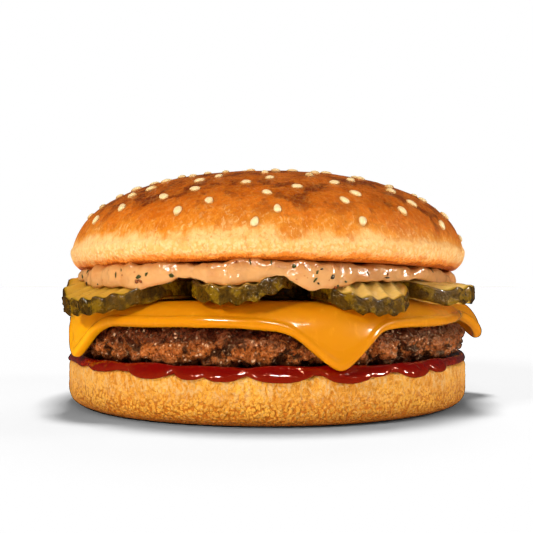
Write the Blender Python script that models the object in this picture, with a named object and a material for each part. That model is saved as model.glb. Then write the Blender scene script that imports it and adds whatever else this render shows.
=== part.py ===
"""Cheeseburger in a sesame bun, built layer by layer from the floor up.

Metres, +Z up. The origin is the middle of the flat base of the lower bun and -Y is the front.
Every length below is in millimetres until a body is made; angles round the burger run from the
front towards +X. From the floor up the layers are the lower bun, the tomato sauce, the patty,
the melted cheese slice, the pickle slices, the cream sauce and the seeded crown.
"""

import math

import bmesh
import bpy
from mathutils import Matrix, Vector, noise

METRES = 0.001
GAP = 0.3

# Lower bun
BUN_RADIUS = 53.6
BUN_FOOT = 48.2
BUN_WAIST = 6.3
BUN_TOP = 11.5
BUN_EDGE = 1.2

# Tomato sauce
TOMATO_THICKNESS = 0.8
TOMATO_ROLL = 1.0
TOMATO_RIM = 0.9
# The bead of sauce pressed up under the patty's edge: its height and its run back to the flat.
BEAD_RISE = 1.4
BEAD_RUN = 2.0
# Each lobe over the bun's edge: turn in degrees, half width in degrees, reach along the edge.
TOMATO_LOBES = (
    (-60, 5, 1.3), (-48, 7.5, 1.8), (-30, 7, 2.3), (-18.5, 5, 2.1), (-10.5, 6, 2.3),
    (3, 8.5, 2.4), (19.5, 7, 2.8), (27, 5, 1.8), (39.3, 6.2, 2.5), (49.5, 4.5, 2.0),
    (102, 7, 1.7), (118, 9, 2.5), (138, 7.5, 1.7), (154, 8, 2.3), (171, 8.5, 1.9),
    (188, 7, 2.5), (203, 7, 1.6), (219, 8, 2.3), (236, 8, 1.9), (252, 7, 2.1), (279, 9, 1.3),
)

# Patty
PATTY_BOTTOM = 13.0
PATTY_TOP = 25.3
PATTY_SHOULDER = 7.8
PATTY_SHIFT = 0.4
CRAG_DEPTH = 1.5
CRAG_SIZE = 4.4

# Cheese
CHEESE_FLAT = 44.5
CHEESE_BEND = 10.0
CHEESE_THICKNESS = 1.9
CHEESE_TOP = PATTY_TOP + GAP + CHEESE_THICKNESS
CHEESE_SIDE = 54.7
CHEESE_LEAN = math.radians(80.0)
CORNER_BLUNT = 2.2
CORNER_JOIN = 3.0
FLARE_RUN = (40.0, 51.5)
# Each corner of the slice: turn from the front in degrees, reach along the slice, outward flare.
CHEESE_CORNERS = ((16.8, 65.2, 0.6), (96.0, 61.3, 6.0), (198.0, 63.5, 1.0), (300.8, 64.3, 0.3))

# Pickles
PICKLE_THICKNESS = 3.7
RIDGE = 0.42
RIDGE_WAVE = 4.0
RIDGE_STEPS = 3
PICKLE_REST = CHEESE_TOP + GAP + RIDGE
PICKLE_FOLD = 46.5
# Each slice: turn and distance of its middle, radius, slope of its rim beyond the fold at its
# left and right ends, lift of those ends, and the turn of its ridges from straight outward.
PICKLES = (
    (-52.2, 42.0, 17.2, 0.02, 0.34, 1.2, 0.0, 12.0),
    (-7.0, 42.0, 12.4, 0.15, 0.15, 0.0, 3.0, 8.0),
    (28.5, 44.0, 11.8, 0.42, 0.42, 0.0, 0.0, -18.5),
    (61.5, 44.6, 12.9, 0.26, 0.12, 0.0, 0.0, 16.5),
    (11.5, 24.5, 7.5, 0.00, 0.00, 0.0, 0.0, 30.0),
    (103.0, 42.0, 13.6, 0.08, 0.08, 0.0, 0.3, -15.0),
    (148.0, 42.5, 14.2, 0.32, 0.20, 0.0, 0.8, 20.0),
    (195.0, 42.0, 13.4, 0.10, 0.30, 1.0, 0.0, -25.0),
    (243.0, 43.0, 14.6, 0.34, 0.22, 0.0, 0.0, 10.0),
)

# Which of the slices lies inside the ring of the others
INNER_SLICE = 4

# Cream sauce
CROWN_CUT = 36.7
CREAM_TOP = CROWN_CUT - GAP
CREAM_SHELF = 33.6
CREAM_EDGE = 30.8
CREAM_MARGIN = 2.6
CREAM_HUB = 24.0
# Outline of the spread sauce: turn in degrees and distance from the middle.
CREAM_OUTLINE = (
    (-90, 50.6), (-62, 52.3), (-45, 52.8), (-33, 52.0), (-22, 50.6), (-10, 52.6), (3, 52.4),
    (13, 52.2), (22, 49.8), (33, 49.0), (50, 49.3), (62, 49.6), (76, 50.8), (90, 51.2),
    (110, 49.6), (130, 52.0), (150, 50.0), (172, 51.6), (195, 50.4), (218, 52.4), (244, 50.2),
)
# Each hanging lobe or recess of its lower edge: turn and half width in degrees, height.
CREAM_LOBES = (
    (-22.5, 7.0, 33.0), (4.5, 5.0, 32.2), (11.3, 4.2, 29.4), (48.0, 7.0, 32.2), (88.0, 7.0, 30.2),
    (129.5, 8.0, 29.8), (173.0, 7.0, 32.8), (219.0, 8.0, 30.0), (270.0, 8.0, 32.6),
)

# Crown
CROWN_RADIUS = 53.5
CROWN_WAIST = 38.0
CROWN_PEAK = 61.4
CROWN_DROOP = 2.1
DROOP_FADE = 11.0
DOME_POWER = (0.8, 0.97)

# Sesame seeds: a crowding under 0.5 sets more of them near the rim
SEED_COUNT = 126
SEED_SPREAD = 52.2
SEED_CROWDING = 0.44
SEED_LENGTH = 3.0
SEED_WIDTH = 2.0
SEED_DEPTH = 1.3
SEED_SINK = 0.15
# Cross section of a seed in half widths and half depths, its lower edges sunk in the crust
SEED_SECTION = ((-1.45, -0.6), (0.0, 1.0), (1.45, -0.6))
GOLDEN_TURN = math.radians(137.508)

COLOURS = {
    "crust": (0.60, 0.24, 0.06, 1.0),
    "crumb": (0.83, 0.50, 0.18, 1.0),
    "tomato": (0.32, 0.02, 0.01, 1.0),
    "meat": (0.14, 0.05, 0.025, 1.0),
    "cheddar": (0.92, 0.42, 0.02, 1.0),
    "pickle": (0.22, 0.20, 0.03, 1.0),
    "cream": (0.85, 0.50, 0.27, 1.0),
}


def clear_scene():
    for found in list(bpy.data.objects):
        bpy.data.objects.remove(found, do_unlink=True)


def material(name, roughness):
    made = bpy.data.materials.new(name)
    made.use_nodes = True
    shader = made.node_tree.nodes["Principled BSDF"]
    shader.inputs["Base Color"].default_value = COLOURS[name]
    shader.inputs["Roughness"].default_value = roughness
    return made


def polar(radius, turn, height):
    return Vector((radius * math.sin(turn), -radius * math.cos(turn), height))


def turns(count):
    return [math.tau * step / count for step in range(count)]


def apart(turn, other):
    """Signed turn from the other to this one, within half a round."""
    return (turn - other + math.pi) % math.tau - math.pi


def ease(low, high, value):
    share = min(max((value - low) / (high - low), 0.0), 1.0)
    return share * share * (3.0 - 2.0 * share)


def add_body(name, points, faces, surface):
    """One closed body out of points in millimetres, its faces turned outward."""
    mesh = bpy.data.meshes.new(name)
    mesh.from_pydata([point * METRES for point in points], [], faces)
    mesh.materials.append(surface)
    work = bmesh.new()
    work.from_mesh(mesh)
    bmesh.ops.triangulate(work, faces=work.faces[:])
    bmesh.ops.recalc_face_normals(work, faces=work.faces[:])
    work.to_mesh(mesh)
    work.free()
    body = bpy.data.objects.new(name, mesh)
    bpy.context.scene.collection.objects.link(body)
    return body


def ring_body(name, first, rings, last, surface):
    """Closed body of rings of points, with a middle point before the first and after the last."""
    count = len(rings[0])
    points = [first] + [point for ring in rings for point in ring] + [last]
    faces = []
    for step in range(count):
        after = (step + 1) % count
        faces.append((0, 1 + after, 1 + step))
        for level in range(len(rings) - 1):
            low = 1 + level * count
            high = low + count
            faces.append((low + step, low + after, high + after, high + step))
        top = 1 + (len(rings) - 1) * count
        faces.append((top + step, top + after, len(points) - 1))
    return add_body(name, points, faces, surface)


def bun_scale(turn):
    """Slight unevenness of the lower bun's outline."""
    return 1.0 + 0.0025 * math.sin(3.0 * turn + 1.1) + 0.0015 * math.sin(7.0 * turn)


def build_lower_bun(surface):
    profile = [(BUN_FOOT, 0.0)]
    for degrees in (32.0, 55.0, 73.0, 90.0):
        bend = math.radians(degrees)
        radius = BUN_FOOT + (BUN_RADIUS - BUN_FOOT) * math.sin(bend) ** 0.91
        profile.append((radius, BUN_WAIST * (1.0 - math.cos(bend) ** 0.51)))
    for degrees in (0.0, 45.0, 90.0):
        bend = math.radians(degrees)
        radius = BUN_RADIUS - BUN_EDGE * (1.0 - math.cos(bend))
        profile.append((radius, BUN_TOP - BUN_EDGE * (1.0 - math.sin(bend))))
    around = turns(48)
    rings = [[polar(r * bun_scale(a), a, z) for a in around] for r, z in profile]
    return ring_body("lower_bun", Vector((0, 0, 0)), rings, Vector((0, 0, BUN_TOP)), surface)


def tomato_reach(turn):
    """How far the tomato sauce runs over the bun's edge: blunt lobes with sharp notches."""
    reach = TOMATO_RIM
    for lobe, width, far in TOMATO_LOBES:
        off = math.degrees(apart(turn, math.radians(lobe))) / width
        reach = max(reach, far * math.sqrt(max(1.0 - off * off, 0.0)))
    return reach


def tomato_point(turn, along, lift):
    """Point on the bun's edge, along it from its flat top outward and lifted off it."""
    reach = BUN_EDGE + GAP
    lift *= 0.5 + 0.5 * min(tomato_reach(turn) / 2.4, 1.0)
    bend = min(along / reach, 0.5 * math.pi)
    down = max(along - reach * 0.5 * math.pi, 0.0)
    radius = BUN_RADIUS - BUN_EDGE + (reach + lift) * math.sin(bend)
    height = BUN_TOP - BUN_EDGE + (reach + lift) * math.cos(bend) - down
    return polar(radius * bun_scale(turn), turn, height)


def build_tomato_sauce(surface):
    around = turns(80)
    layers = ((0.0, 0.0), (0.55, 0.0), (1.0, 0.0), (1.1, 0.5), (1.0, 1.0), (0.5, 1.1), (0.0, 0.8))
    rings = []
    for share, lift in layers:
        ring = [tomato_point(a, share * tomato_reach(a), lift * TOMATO_ROLL) for a in around]
        rings.append(ring)
    floor = Vector((0, 0, BUN_TOP + GAP))
    roof = floor + Vector((0, 0, TOMATO_THICKNESS))
    bead = Vector((0, 0, BEAD_RISE))
    rings[-1] = [point + bead for point in rings[-1]]
    foot = BUN_RADIUS - BUN_EDGE - BEAD_RUN
    rings.append([polar(foot * bun_scale(a), a, roof.z) for a in around])
    return ring_body("tomato_sauce", floor, rings, roof, surface)


def crag(point):
    """Depth of the broken meat surface at a point, from nothing to the full crag."""
    coarse = noise.noise(point / CRAG_SIZE)
    fine = noise.noise(point * 1.9 / CRAG_SIZE + Vector((7.0, 3.0, 1.0)))
    return CRAG_DEPTH * min(max(0.45 + 0.9 * coarse + 0.5 * fine, 0.0), 1.0)


def build_patty(surface):
    profile = [(48.0, PATTY_BOTTOM), (51.2, PATTY_BOTTOM + 0.5), (52.6, PATTY_BOTTOM + 1.9)]
    profile += [(53.2, PATTY_BOTTOM + 3.6), (53.0, PATTY_BOTTOM + 5.6)]
    hub = PATTY_TOP - PATTY_SHOULDER
    for degrees in (18.0, 45.0, 72.0):
        bend = math.radians(degrees)
        out = PATTY_SHOULDER * math.cos(bend)
        profile.append((CHEESE_FLAT + out, hub + PATTY_SHOULDER * math.sin(bend)))
    profile.append((CHEESE_FLAT - 3.0, PATTY_TOP))
    around = turns(72)
    shift = Vector((PATTY_SHIFT, 0.0, 0.0))
    rings = []
    for level, (radius, height) in enumerate(profile):
        rough = 0.0 if level in (0, len(profile) - 1) else 1.0
        lean = shift * ease(hub + 2.0, PATTY_BOTTOM + 2.0, height)
        ring = []
        for turn in around:
            depth = rough * crag(polar(radius, turn, height))
            ring.append(polar(radius - depth, turn, height) + lean)
        rings.append(ring)
    return ring_body(
        "patty", Vector((0, 0, PATTY_BOTTOM)), rings, Vector((0, 0, PATTY_TOP)), surface
    )


def cheese_reach(turn):
    """Distance along the slice from its middle to its edge, with four blunt corners."""
    reach = CHEESE_SIDE + 0.5 * math.sin(3.0 * turn + 0.3) + 0.3 * math.sin(8.0 * turn)
    for corner, tip, _ in CHEESE_CORNERS:
        off = apart(turn, math.radians(corner)) * CHEESE_SIDE
        point = tip + 0.6 * CORNER_BLUNT - math.hypot(off, CORNER_BLUNT)
        reach = 0.5 * (reach + point + math.hypot(reach - point, CORNER_JOIN))
    return reach


def cheese_flare(turn):
    """Share and size of the outward swing of the corners."""
    swing = 0.0
    for corner, _, flare in CHEESE_CORNERS:
        swing += flare * ease(0.24, 0.0, abs(apart(turn, math.radians(corner))))
    return swing


def cheese_point(turn, along, inset):
    """Point of the draped slice, along it from the middle and inset below its top face."""
    if along <= CHEESE_FLAT:
        return polar(along, turn, CHEESE_TOP - inset)
    bend = min((along - CHEESE_FLAT) / CHEESE_BEND, CHEESE_LEAN)
    straight = max(along - CHEESE_FLAT - CHEESE_BEND * CHEESE_LEAN, 0.0)
    radius = CHEESE_FLAT + (CHEESE_BEND - inset) * math.sin(bend) + straight * math.cos(bend)
    height = CHEESE_TOP - CHEESE_BEND + (CHEESE_BEND - inset) * math.cos(bend)
    height -= straight * math.sin(bend)
    radius += cheese_flare(turn) * ease(*FLARE_RUN, along)
    return polar(radius, turn, height)


def cheese_turns():
    """Turns round the slice, crowded towards its four corners."""
    around = []
    for index, (corner, _, _) in enumerate(CHEESE_CORNERS):
        after = CHEESE_CORNERS[(index + 1) % len(CHEESE_CORNERS)][0]
        span = (after - corner) % 360.0
        for share in (0.0, 0.018, 0.045, 0.08, 0.125, 0.18, 0.26, 0.35, 0.45):
            around.append(math.radians(corner + span * share))
        for share in (0.55, 0.65, 0.74, 0.82, 0.875, 0.92, 0.955, 0.982):
            around.append(math.radians(corner + span * share))
    return around


def cheese_ring(around, share, inset):
    """Ring of the draped slice at a share of the way from its flat middle to its edge."""
    ring = []
    for turn in around:
        along = CHEESE_FLAT + share * (cheese_reach(turn) - CHEESE_FLAT)
        ring.append(cheese_point(turn, along, inset))
    return ring


def build_cheese(surface):
    around = cheese_turns()
    shares = (0.0, 0.28, 0.55, 0.8, 1.0)
    rings = [cheese_ring(around, share, CHEESE_THICKNESS) for share in shares]
    rings.append(cheese_ring(around, 1.025, 0.5 * CHEESE_THICKNESS))
    rings += [cheese_ring(around, share, 0.0) for share in reversed(shares)]
    low = Vector((0, 0, CHEESE_TOP - CHEESE_THICKNESS))
    return ring_body("cheese", low, rings, Vector((0, 0, CHEESE_TOP)), surface)


def pickle_height(slice_row, x, y):
    """Height of the underside of a pickle slice, before its ridges, at a place over the floor."""
    turn, _, radius, sag_left, sag_right, lift_left, lift_right, _ = slice_row
    turn = math.radians(turn)
    side = (x * math.cos(turn) + y * math.sin(turn)) / radius
    sag = sag_left + (sag_right - sag_left) * ease(-1.0, -0.1, side)
    lift = lift_left * ease(0.0, 1.0, -side) + lift_right * ease(0.0, 1.0, side)
    return PICKLE_REST + lift - sag * max(math.hypot(x, y) - PICKLE_FOLD, 0.0)


def fold_share(start, along, chord):
    """Share of a half chord at which a line of the slice crosses the fold."""
    toward = start.dot(along)
    inside = toward * toward - start.length_squared + PICKLE_FOLD * PICKLE_FOLD
    share = (math.sqrt(max(inside, 0.0)) - toward) / chord
    return share if -0.85 < share < 0.85 else 0.15


def build_pickle(index, slice_row, surface):
    turn, distance, radius = slice_row[:3]
    middle = polar(distance, math.radians(turn), 0.0)
    ridge_turn = math.radians(turn + slice_row[7])
    along = polar(1.0, ridge_turn, 0.0)
    across = Vector((-along.y, along.x, 0.0))
    steps = int(2.0 * radius * RIDGE_STEPS / RIDGE_WAVE)
    roof = []
    floor = []
    for step in range(steps + 1):
        offset = radius * 0.985 * (2.0 * step / steps - 1.0)
        chord = math.sqrt(radius * radius - offset * offset)
        wave = RIDGE * math.sin(math.tau * offset / RIDGE_WAVE + index)
        fold = fold_share(middle + across * offset, along, chord)
        for share in (-1.0, fold, 1.0):
            place = middle + across * offset + along * (chord * share)
            place.z = pickle_height(slice_row, place.x, place.y) + wave
            floor.append(place)
            roof.append(place + Vector((0.0, 0.0, PICKLE_THICKNESS)))
    faces = slab_faces(steps + 1, 3)
    return add_body(f"pickle_{index + 1}", floor + roof, faces, surface)


def slab_faces(columns, rows):
    """Faces of a slab whose floor and roof are the same grid of points, floor first."""
    above = columns * rows
    faces = []
    for column in range(columns - 1):
        for row in range(rows - 1):
            corner = column * rows + row
            sheet = (corner, corner + 1, corner + rows + 1, corner + rows)
            faces.append(sheet)
            faces.append(tuple(point + above for point in reversed(sheet)))
        for row in (0, rows - 1):
            corner = column * rows + row
            faces.append((corner, corner + rows, corner + rows + above, corner + above))
    for column in (0, columns - 1):
        for row in range(rows - 1):
            corner = column * rows + row
            faces.append((corner, corner + 1, corner + 1 + above, corner + above))
    return faces


def droop(x, height):
    """How far the crown's heel sinks at its two sides, fading out up the dome."""
    fade = min(max(1.0 - (height - CROWN_CUT) / DROOP_FADE, 0.0), 1.0)
    return CROWN_DROOP * (x / CROWN_RADIUS) ** 2 * fade


def pickle_roof(x, y, margin):
    """Height to keep above the pickle slices at a place, or the floor where there is none."""
    roof = 0.0
    for slice_row in PICKLES:
        middle = polar(slice_row[1], math.radians(slice_row[0]), 0.0)
        if math.hypot(x - middle.x, y - middle.y) < slice_row[2] + margin:
            top = pickle_height(slice_row, x, y) + PICKLE_THICKNESS + RIDGE + GAP
            roof = max(roof, top)
    return roof


def cream_edge(turn):
    """Height of the lower edge of the cream sauce where nothing lies under it."""
    edge = CREAM_EDGE + 0.3 * math.sin(4.0 * turn + 0.8)
    for lobe, width, height in CREAM_LOBES:
        off = abs(math.degrees(apart(turn, math.radians(lobe)))) / width
        edge += (height - edge) * ease(1.15, 0.3, off)
    return edge


def cream_radius(turn):
    """Distance of the cream sauce's outline, eased between its listed turns."""
    degrees = (math.degrees(turn) + 90.0) % 360.0 - 90.0
    rows = CREAM_OUTLINE + ((CREAM_OUTLINE[0][0] + 360, CREAM_OUTLINE[0][1]),)
    for (start, low), (end, high) in zip(rows, rows[1:]):
        if start <= degrees <= end:
            return low + (high - low) * ease(start, end, degrees)
    return rows[0][1]


def cream_floor(radius, turn, free):
    """Point of the underside of the cream sauce, clear of every slice below it."""
    place = polar(radius, turn, 0.0)
    return polar(radius, turn, max(free, pickle_roof(place.x, place.y, CREAM_MARGIN)))


def cream_roof(radius, turn):
    return polar(radius, turn, CREAM_TOP - droop(radius * math.sin(turn), CROWN_CUT))


def cream_hub(turn):
    """Radius of the middle of the cream sauce that rests on the cheese between the slices."""
    near = abs(math.degrees(apart(turn, math.radians(PICKLES[INNER_SLICE][0]))))
    return CREAM_HUB - 10.5 * ease(37.0, 25.0, near)


def build_cream_sauce(surface):
    around = turns(90)
    low = CHEESE_TOP + GAP
    rings = [[polar(cream_hub(a), a, low) for a in around]]
    rings.append([polar(cream_hub(a) + 1.0, a, CREAM_SHELF) for a in around])
    for radius in (38.0, PICKLE_FOLD, 49.2):
        ring = []
        for turn in around:
            free = CREAM_SHELF + (cream_edge(turn) - CREAM_SHELF) * ease(45.5, 50.5, radius)
            ring.append(cream_floor(radius, turn, free))
        rings.append(ring)
    hem = [cream_floor(cream_radius(a) - 0.8, a, cream_edge(a)) for a in around]
    lip = [cream_floor(cream_radius(a), a, cream_edge(a)) + Vector((0, 0, 0.5)) for a in around]
    top = [cream_roof(cream_radius(a) - 1.6, a) for a in around]
    belly = []
    for turn, below, above in zip(around, lip, top):
        belly.append(polar(cream_radius(turn) - 0.1, turn, 0.5 * (below.z + above.z)))
    rings += [hem, lip, belly, top, [cream_roof(30.0, a) for a in around]]
    roof = Vector((0, 0, CREAM_TOP))
    return ring_body("cream_sauce", Vector((0, 0, low)), rings, roof, surface)


def dome_height(radius):
    """Height of the crown's crust over a distance from its middle line."""
    bend = math.acos(min(radius / CROWN_RADIUS, 1.0) ** (1.0 / DOME_POWER[0]))
    return CROWN_WAIST + (CROWN_PEAK - CROWN_WAIST) * math.sin(bend) ** DOME_POWER[1]


def crown_scale(turn):
    return 1.0 + 0.003 * math.sin(2.0 * turn + 0.6) + 0.002 * math.sin(5.0 * turn + 1.9)


def build_crown_body(surface):
    profile = [(30.0, CROWN_CUT), (50.4, CROWN_CUT), (51.6, CROWN_CUT + 0.7)]
    profile += [(52.9, CROWN_CUT + 2.2), (53.5, CROWN_CUT + 4.3)]
    for radius in (53.0, 51.2, 48.0, 43.0, 36.0, 27.0, 17.0, 8.0):
        profile.append((radius, dome_height(radius)))
    around = turns(48)
    rings = []
    for radius, height in profile:
        ring = [polar(radius * crown_scale(a), a, height) for a in around]
        for point in ring:
            point.z -= droop(point.x, height)
        rings.append(ring)
    low = Vector((0, 0, CROWN_CUT))
    return ring_body("crown", low, rings, Vector((0, 0, CROWN_PEAK)), surface)


def seed_frame(index):
    """Place and turn of one sesame seed lying on the crust."""
    share = (index + 0.5) / SEED_COUNT
    radius = SEED_SPREAD * share**SEED_CROWDING + 1.3 * math.sin(2.4 * index)
    turn = index * GOLDEN_TURN + 0.06 * math.sin(1.7 * index)
    radius = min(abs(radius), SEED_SPREAD)
    step = 0.05
    rise = (dome_height(radius + step) - dome_height(radius - step)) / (2.0 * step)
    height = dome_height(radius)
    place = polar(radius * crown_scale(turn), turn, height)
    place.z -= droop(place.x, height)
    up = polar(-rise, turn, 1.0).normalized()
    spin = Matrix.Rotation(1.9 * index, 4, "Z")
    return Matrix.Translation(place) @ up.to_track_quat("Z", "Y").to_matrix().to_4x4() @ spin


def build_seed(index, surface):
    """One ridged pointed seed of two cross sections and two tips."""
    grow = 1.0 + 0.1 * math.sin(3.3 * index)
    frame = seed_frame(index)
    long = 0.5 * SEED_LENGTH * grow
    wide = 0.5 * SEED_WIDTH * grow
    deep = 0.5 * SEED_DEPTH
    points = [frame @ Vector((-long, 0.0, -SEED_SINK))]
    for station, size in ((-0.45, 0.8), (0.35, 1.0)):
        for across, up in SEED_SECTION:
            points.append(frame @ Vector((station * long, size * wide * across, size * deep * up)))
    points.append(frame @ Vector((long, 0.0, -SEED_SINK)))
    sides = len(SEED_SECTION)
    faces = []
    for corner in range(sides):
        near = 1 + corner
        after = 1 + (corner + 1) % sides
        faces.append((0, near, after))
        faces.append((near, after, after + sides, near + sides))
        faces.append((near + sides, after + sides, len(points) - 1))
    return add_body(f"seed_{index}", points, faces, surface)


def build_crown(surface):
    """The crown with every seed joined into its crust as one body."""
    crown = build_crown_body(surface)
    seeds = bpy.data.collections.new("seeds")
    bpy.context.scene.collection.children.link(seeds)
    for index in range(SEED_COUNT):
        seed = build_seed(index, surface)
        bpy.context.scene.collection.objects.unlink(seed)
        seeds.objects.link(seed)
    join = crown.modifiers.new("join_seeds", "BOOLEAN")
    join.operation = "UNION"
    join.operand_type = "COLLECTION"
    join.collection = seeds
    join.solver = "EXACT"
    graph = bpy.context.evaluated_depsgraph_get()
    joined = bpy.data.meshes.new_from_object(crown.evaluated_get(graph))
    crown.modifiers.clear()
    crown.data = joined
    for seed in list(seeds.objects):
        bpy.data.objects.remove(seed, do_unlink=True)
    bpy.data.collections.remove(seeds)
    return crown


def main():
    clear_scene()
    build_lower_bun(material("crumb", 0.7))
    build_tomato_sauce(material("tomato", 0.15))
    build_patty(material("meat", 0.5))
    build_cheese(material("cheddar", 0.3))
    pickle = material("pickle", 0.35)
    for index, slice_row in enumerate(PICKLES):
        build_pickle(index, slice_row, pickle)
    build_cream_sauce(material("cream", 0.3))
    build_crown(material("crust", 0.5))


main()
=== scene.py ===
import math

import bpy
import numpy as np
from mathutils import Matrix, Vector, noise


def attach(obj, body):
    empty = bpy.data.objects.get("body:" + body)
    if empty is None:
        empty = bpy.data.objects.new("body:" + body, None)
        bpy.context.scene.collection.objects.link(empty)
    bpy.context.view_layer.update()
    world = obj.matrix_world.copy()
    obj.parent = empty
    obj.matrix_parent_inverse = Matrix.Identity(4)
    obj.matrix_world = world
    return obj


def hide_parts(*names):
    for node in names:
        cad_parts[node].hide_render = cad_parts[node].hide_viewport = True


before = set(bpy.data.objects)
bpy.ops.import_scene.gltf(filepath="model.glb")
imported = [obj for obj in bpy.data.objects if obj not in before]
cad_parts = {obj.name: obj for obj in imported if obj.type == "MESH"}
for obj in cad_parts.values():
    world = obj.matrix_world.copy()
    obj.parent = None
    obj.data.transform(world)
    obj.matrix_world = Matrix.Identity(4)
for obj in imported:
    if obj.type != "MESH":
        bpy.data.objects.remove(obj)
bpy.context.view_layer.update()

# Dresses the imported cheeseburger. The shapes repeat the solids' own sizes at a fine pitch, in millimetres,
# with turns from the front towards +X, and the node trees add mince, crumb, seeds and specks in metres.

bl_info = {
    "name": "Sesame cheeseburger",
    "version": (1, 0, 0),
    "blender": (4, 5, 0),
    "location": "View3D > Sidebar > Burger",
    "description": "Dresses a packed cheeseburger with crust, mince, melted cheese, sauces and seeds",
    "category": "Object",
}

MM = 0.001
TAU = 2.0 * math.pi

# Lower bun
BUN_RADIUS = 53.6
BUN_FOOT = 48.2
BUN_WAIST = 6.3
BUN_TOP = 11.5
BUN_EDGE = 1.2
BUN_POWER = (0.91, 0.51)
BUN_TURNS = 900
BUN_PITCH = 0.32

# Tomato sauce: the section of its rim in shares of its reach and its roll, and each lobe's turn and
# half width in degrees and its reach along the edge
TOMATO_ROLL = 1.0
TOMATO_RIM = 0.9
TOMATO_FLOAT = 0.1
BEAD_PLACE = 52.4
BEAD_WIDTH = 1.05
BEAD_HEIGHT = 1.4
TOMATO_TURNS = 1000
TOMATO_PITCH = 0.06
TOMATO_FULL = 2.4
# Radii over which the sauce's waves grow in and its painted shade under the patty fades out
TOMATO_SHOWN = (50.9, 52.6)
TOMATO_SECTION = ((0.0, 0.0), (0.55, 0.0), (0.95, 0.0), (1.1, 0.5), (0.98, 1.0), (0.5, 1.1), (0.0, 0.8))
TOMATO_LOBES = (
    (-60, 5, 1.3), (-48, 7.5, 1.8), (-30, 7, 2.3), (-18.5, 5, 2.1), (-10.5, 6, 2.3),
    (3, 8.5, 2.4), (19.5, 7, 2.8), (27, 5, 1.8), (39.3, 6.2, 2.5), (49.5, 4.5, 2.0),
    (102, 7, 1.7), (118, 9, 2.5), (138, 7.5, 1.7), (154, 8, 2.3), (171, 8.5, 1.9),
    (188, 7, 2.5), (203, 7, 1.6), (219, 8, 2.3), (236, 8, 1.9), (252, 7, 2.1), (279, 9, 1.3),
)

# Patty, with the radius and rise of each point of its side
PATTY_BOTTOM = 13.0
PATTY_TOP = 25.3
PATTY_SHOULDER = 7.8
PATTY_SHIFT = 0.4
CRAG_DEPTH = 1.5
CRAG_SIZE = 4.4
PATTY_TURNS = 940
PATTY_PITCH = 0.3
PATTY_SIDE = ((46.0, 0.0), (48.0, 0.0), (51.2, 0.5), (52.6, 1.9), (53.2, 3.6), (53.0, 5.6))

# Cheese: each corner's turn in degrees, reach along the slice and outward flare
GAP = 0.3
CHEESE_FLAT = 44.5
CHEESE_BEND = 10.0
CHEESE_THICKNESS = 1.9
CHEESE_TOP = PATTY_TOP + GAP + CHEESE_THICKNESS
CHEESE_SIDE = 54.7
CHEESE_LEAN = math.radians(80.0)
CORNER_BLUNT = 2.2
CORNER_JOIN = 3.0
CORNER_SPREAD = 0.24
FLARE_RUN = (40.0, 51.5)
CHEESE_CORNERS = ((16.8, 65.2, 0.6), (96.0, 61.3, 6.0), (198.0, 63.5, 1.0), (300.8, 64.3, 0.3))
CHEESE_TURNS = 1000
CHEESE_LIP = 0.45
CHEESE_BEAD = 0.42

# Pickles: turn and distance of each middle, radius, slopes of its left and right ends beyond the
# fold, lifts of those ends, and the turn of its ridges from straight outward
PICKLE_THICKNESS = 3.7
PICKLE_EDGE = 0.45
PICKLE_TURNS = 270
RIDGE = 0.42
RIDGE_WAVE = 4.0
PICKLE_REST = CHEESE_TOP + GAP + RIDGE
PICKLE_FOLD = 46.5
PICKLES = (
    (-52.2, 42.0, 17.2, 0.02, 0.34, 1.2, 0.0, 12.0),
    (-7.0, 42.0, 12.4, 0.15, 0.15, 0.0, 3.0, 8.0),
    (28.5, 44.0, 11.8, 0.42, 0.42, 0.0, 0.0, -18.5),
    (61.5, 44.6, 12.9, 0.26, 0.12, 0.0, 0.0, 16.5),
    (11.5, 24.5, 7.5, 0.00, 0.00, 0.0, 0.0, 30.0),
    (103.0, 42.0, 13.6, 0.08, 0.08, 0.0, 0.3, -15.0),
    (148.0, 42.5, 14.2, 0.32, 0.20, 0.0, 0.8, 20.0),
    (195.0, 42.0, 13.4, 0.10, 0.30, 1.0, 0.0, -25.0),
    (243.0, 43.0, 14.6, 0.34, 0.22, 0.0, 0.0, 10.0),
)
PICKLE_PALENESS = (0.15, 0.45, 0.7, 1.0, 0.2, 0.6, 0.3, 0.9, 0.5)
INNER_SLICE = 4

# Cream sauce: the outline's turns in degrees and distances, and each lobe's turn and half width in
# degrees and the height of its edge
CROWN_CUT = 36.7
CREAM_TOP = CROWN_CUT - GAP
CREAM_SHELF = 33.6
CREAM_EDGE = 30.8
CREAM_HUB = 24.0
HUB_NOTCH = 10.5
NOTCH_TURN = (37.0, 25.0)
CREAM_ROUND = 0.8
CREAM_PRESS = 0.28
CREAM_FREE = (45.5, 50.5)
CREAM_TURNS = 900
CREAM_FLOW = 27
CREAM_OUTLINE = (
    (-90, 50.6), (-62, 52.3), (-45, 52.8), (-33, 52.0), (-22, 50.6), (-10, 52.6), (3, 52.4),
    (13, 52.2), (22, 49.8), (33, 49.0), (50, 49.3), (62, 49.6), (76, 50.8), (90, 51.2),
    (110, 49.6), (130, 52.0), (150, 50.0), (172, 51.6), (195, 50.4), (218, 52.4), (244, 50.2),
)
CREAM_LOBES = (
    (-22.5, 7.0, 33.0), (4.5, 5.0, 32.2), (11.3, 4.2, 29.4), (48.0, 7.0, 32.2), (88.0, 7.0, 30.2),
    (129.5, 8.0, 29.8), (173.0, 7.0, 32.8), (219.0, 8.0, 30.0), (270.0, 8.0, 32.6),
)

# Crown, with the radius and rise of each point of its heel
CROWN_RADIUS = 53.5
CROWN_WAIST = 38.0
CROWN_PEAK = 61.4
CROWN_DROOP = 2.1
DROOP_FADE = 11.0
DOME_POWER = (0.8, 0.97)
CROWN_TURNS = 680
CROWN_PITCH = 0.56
CROWN_HEEL = ((49.0, 0.0), (50.4, 0.0), (51.6, 0.7), (52.9, 2.2), (53.5, 4.3))
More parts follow.
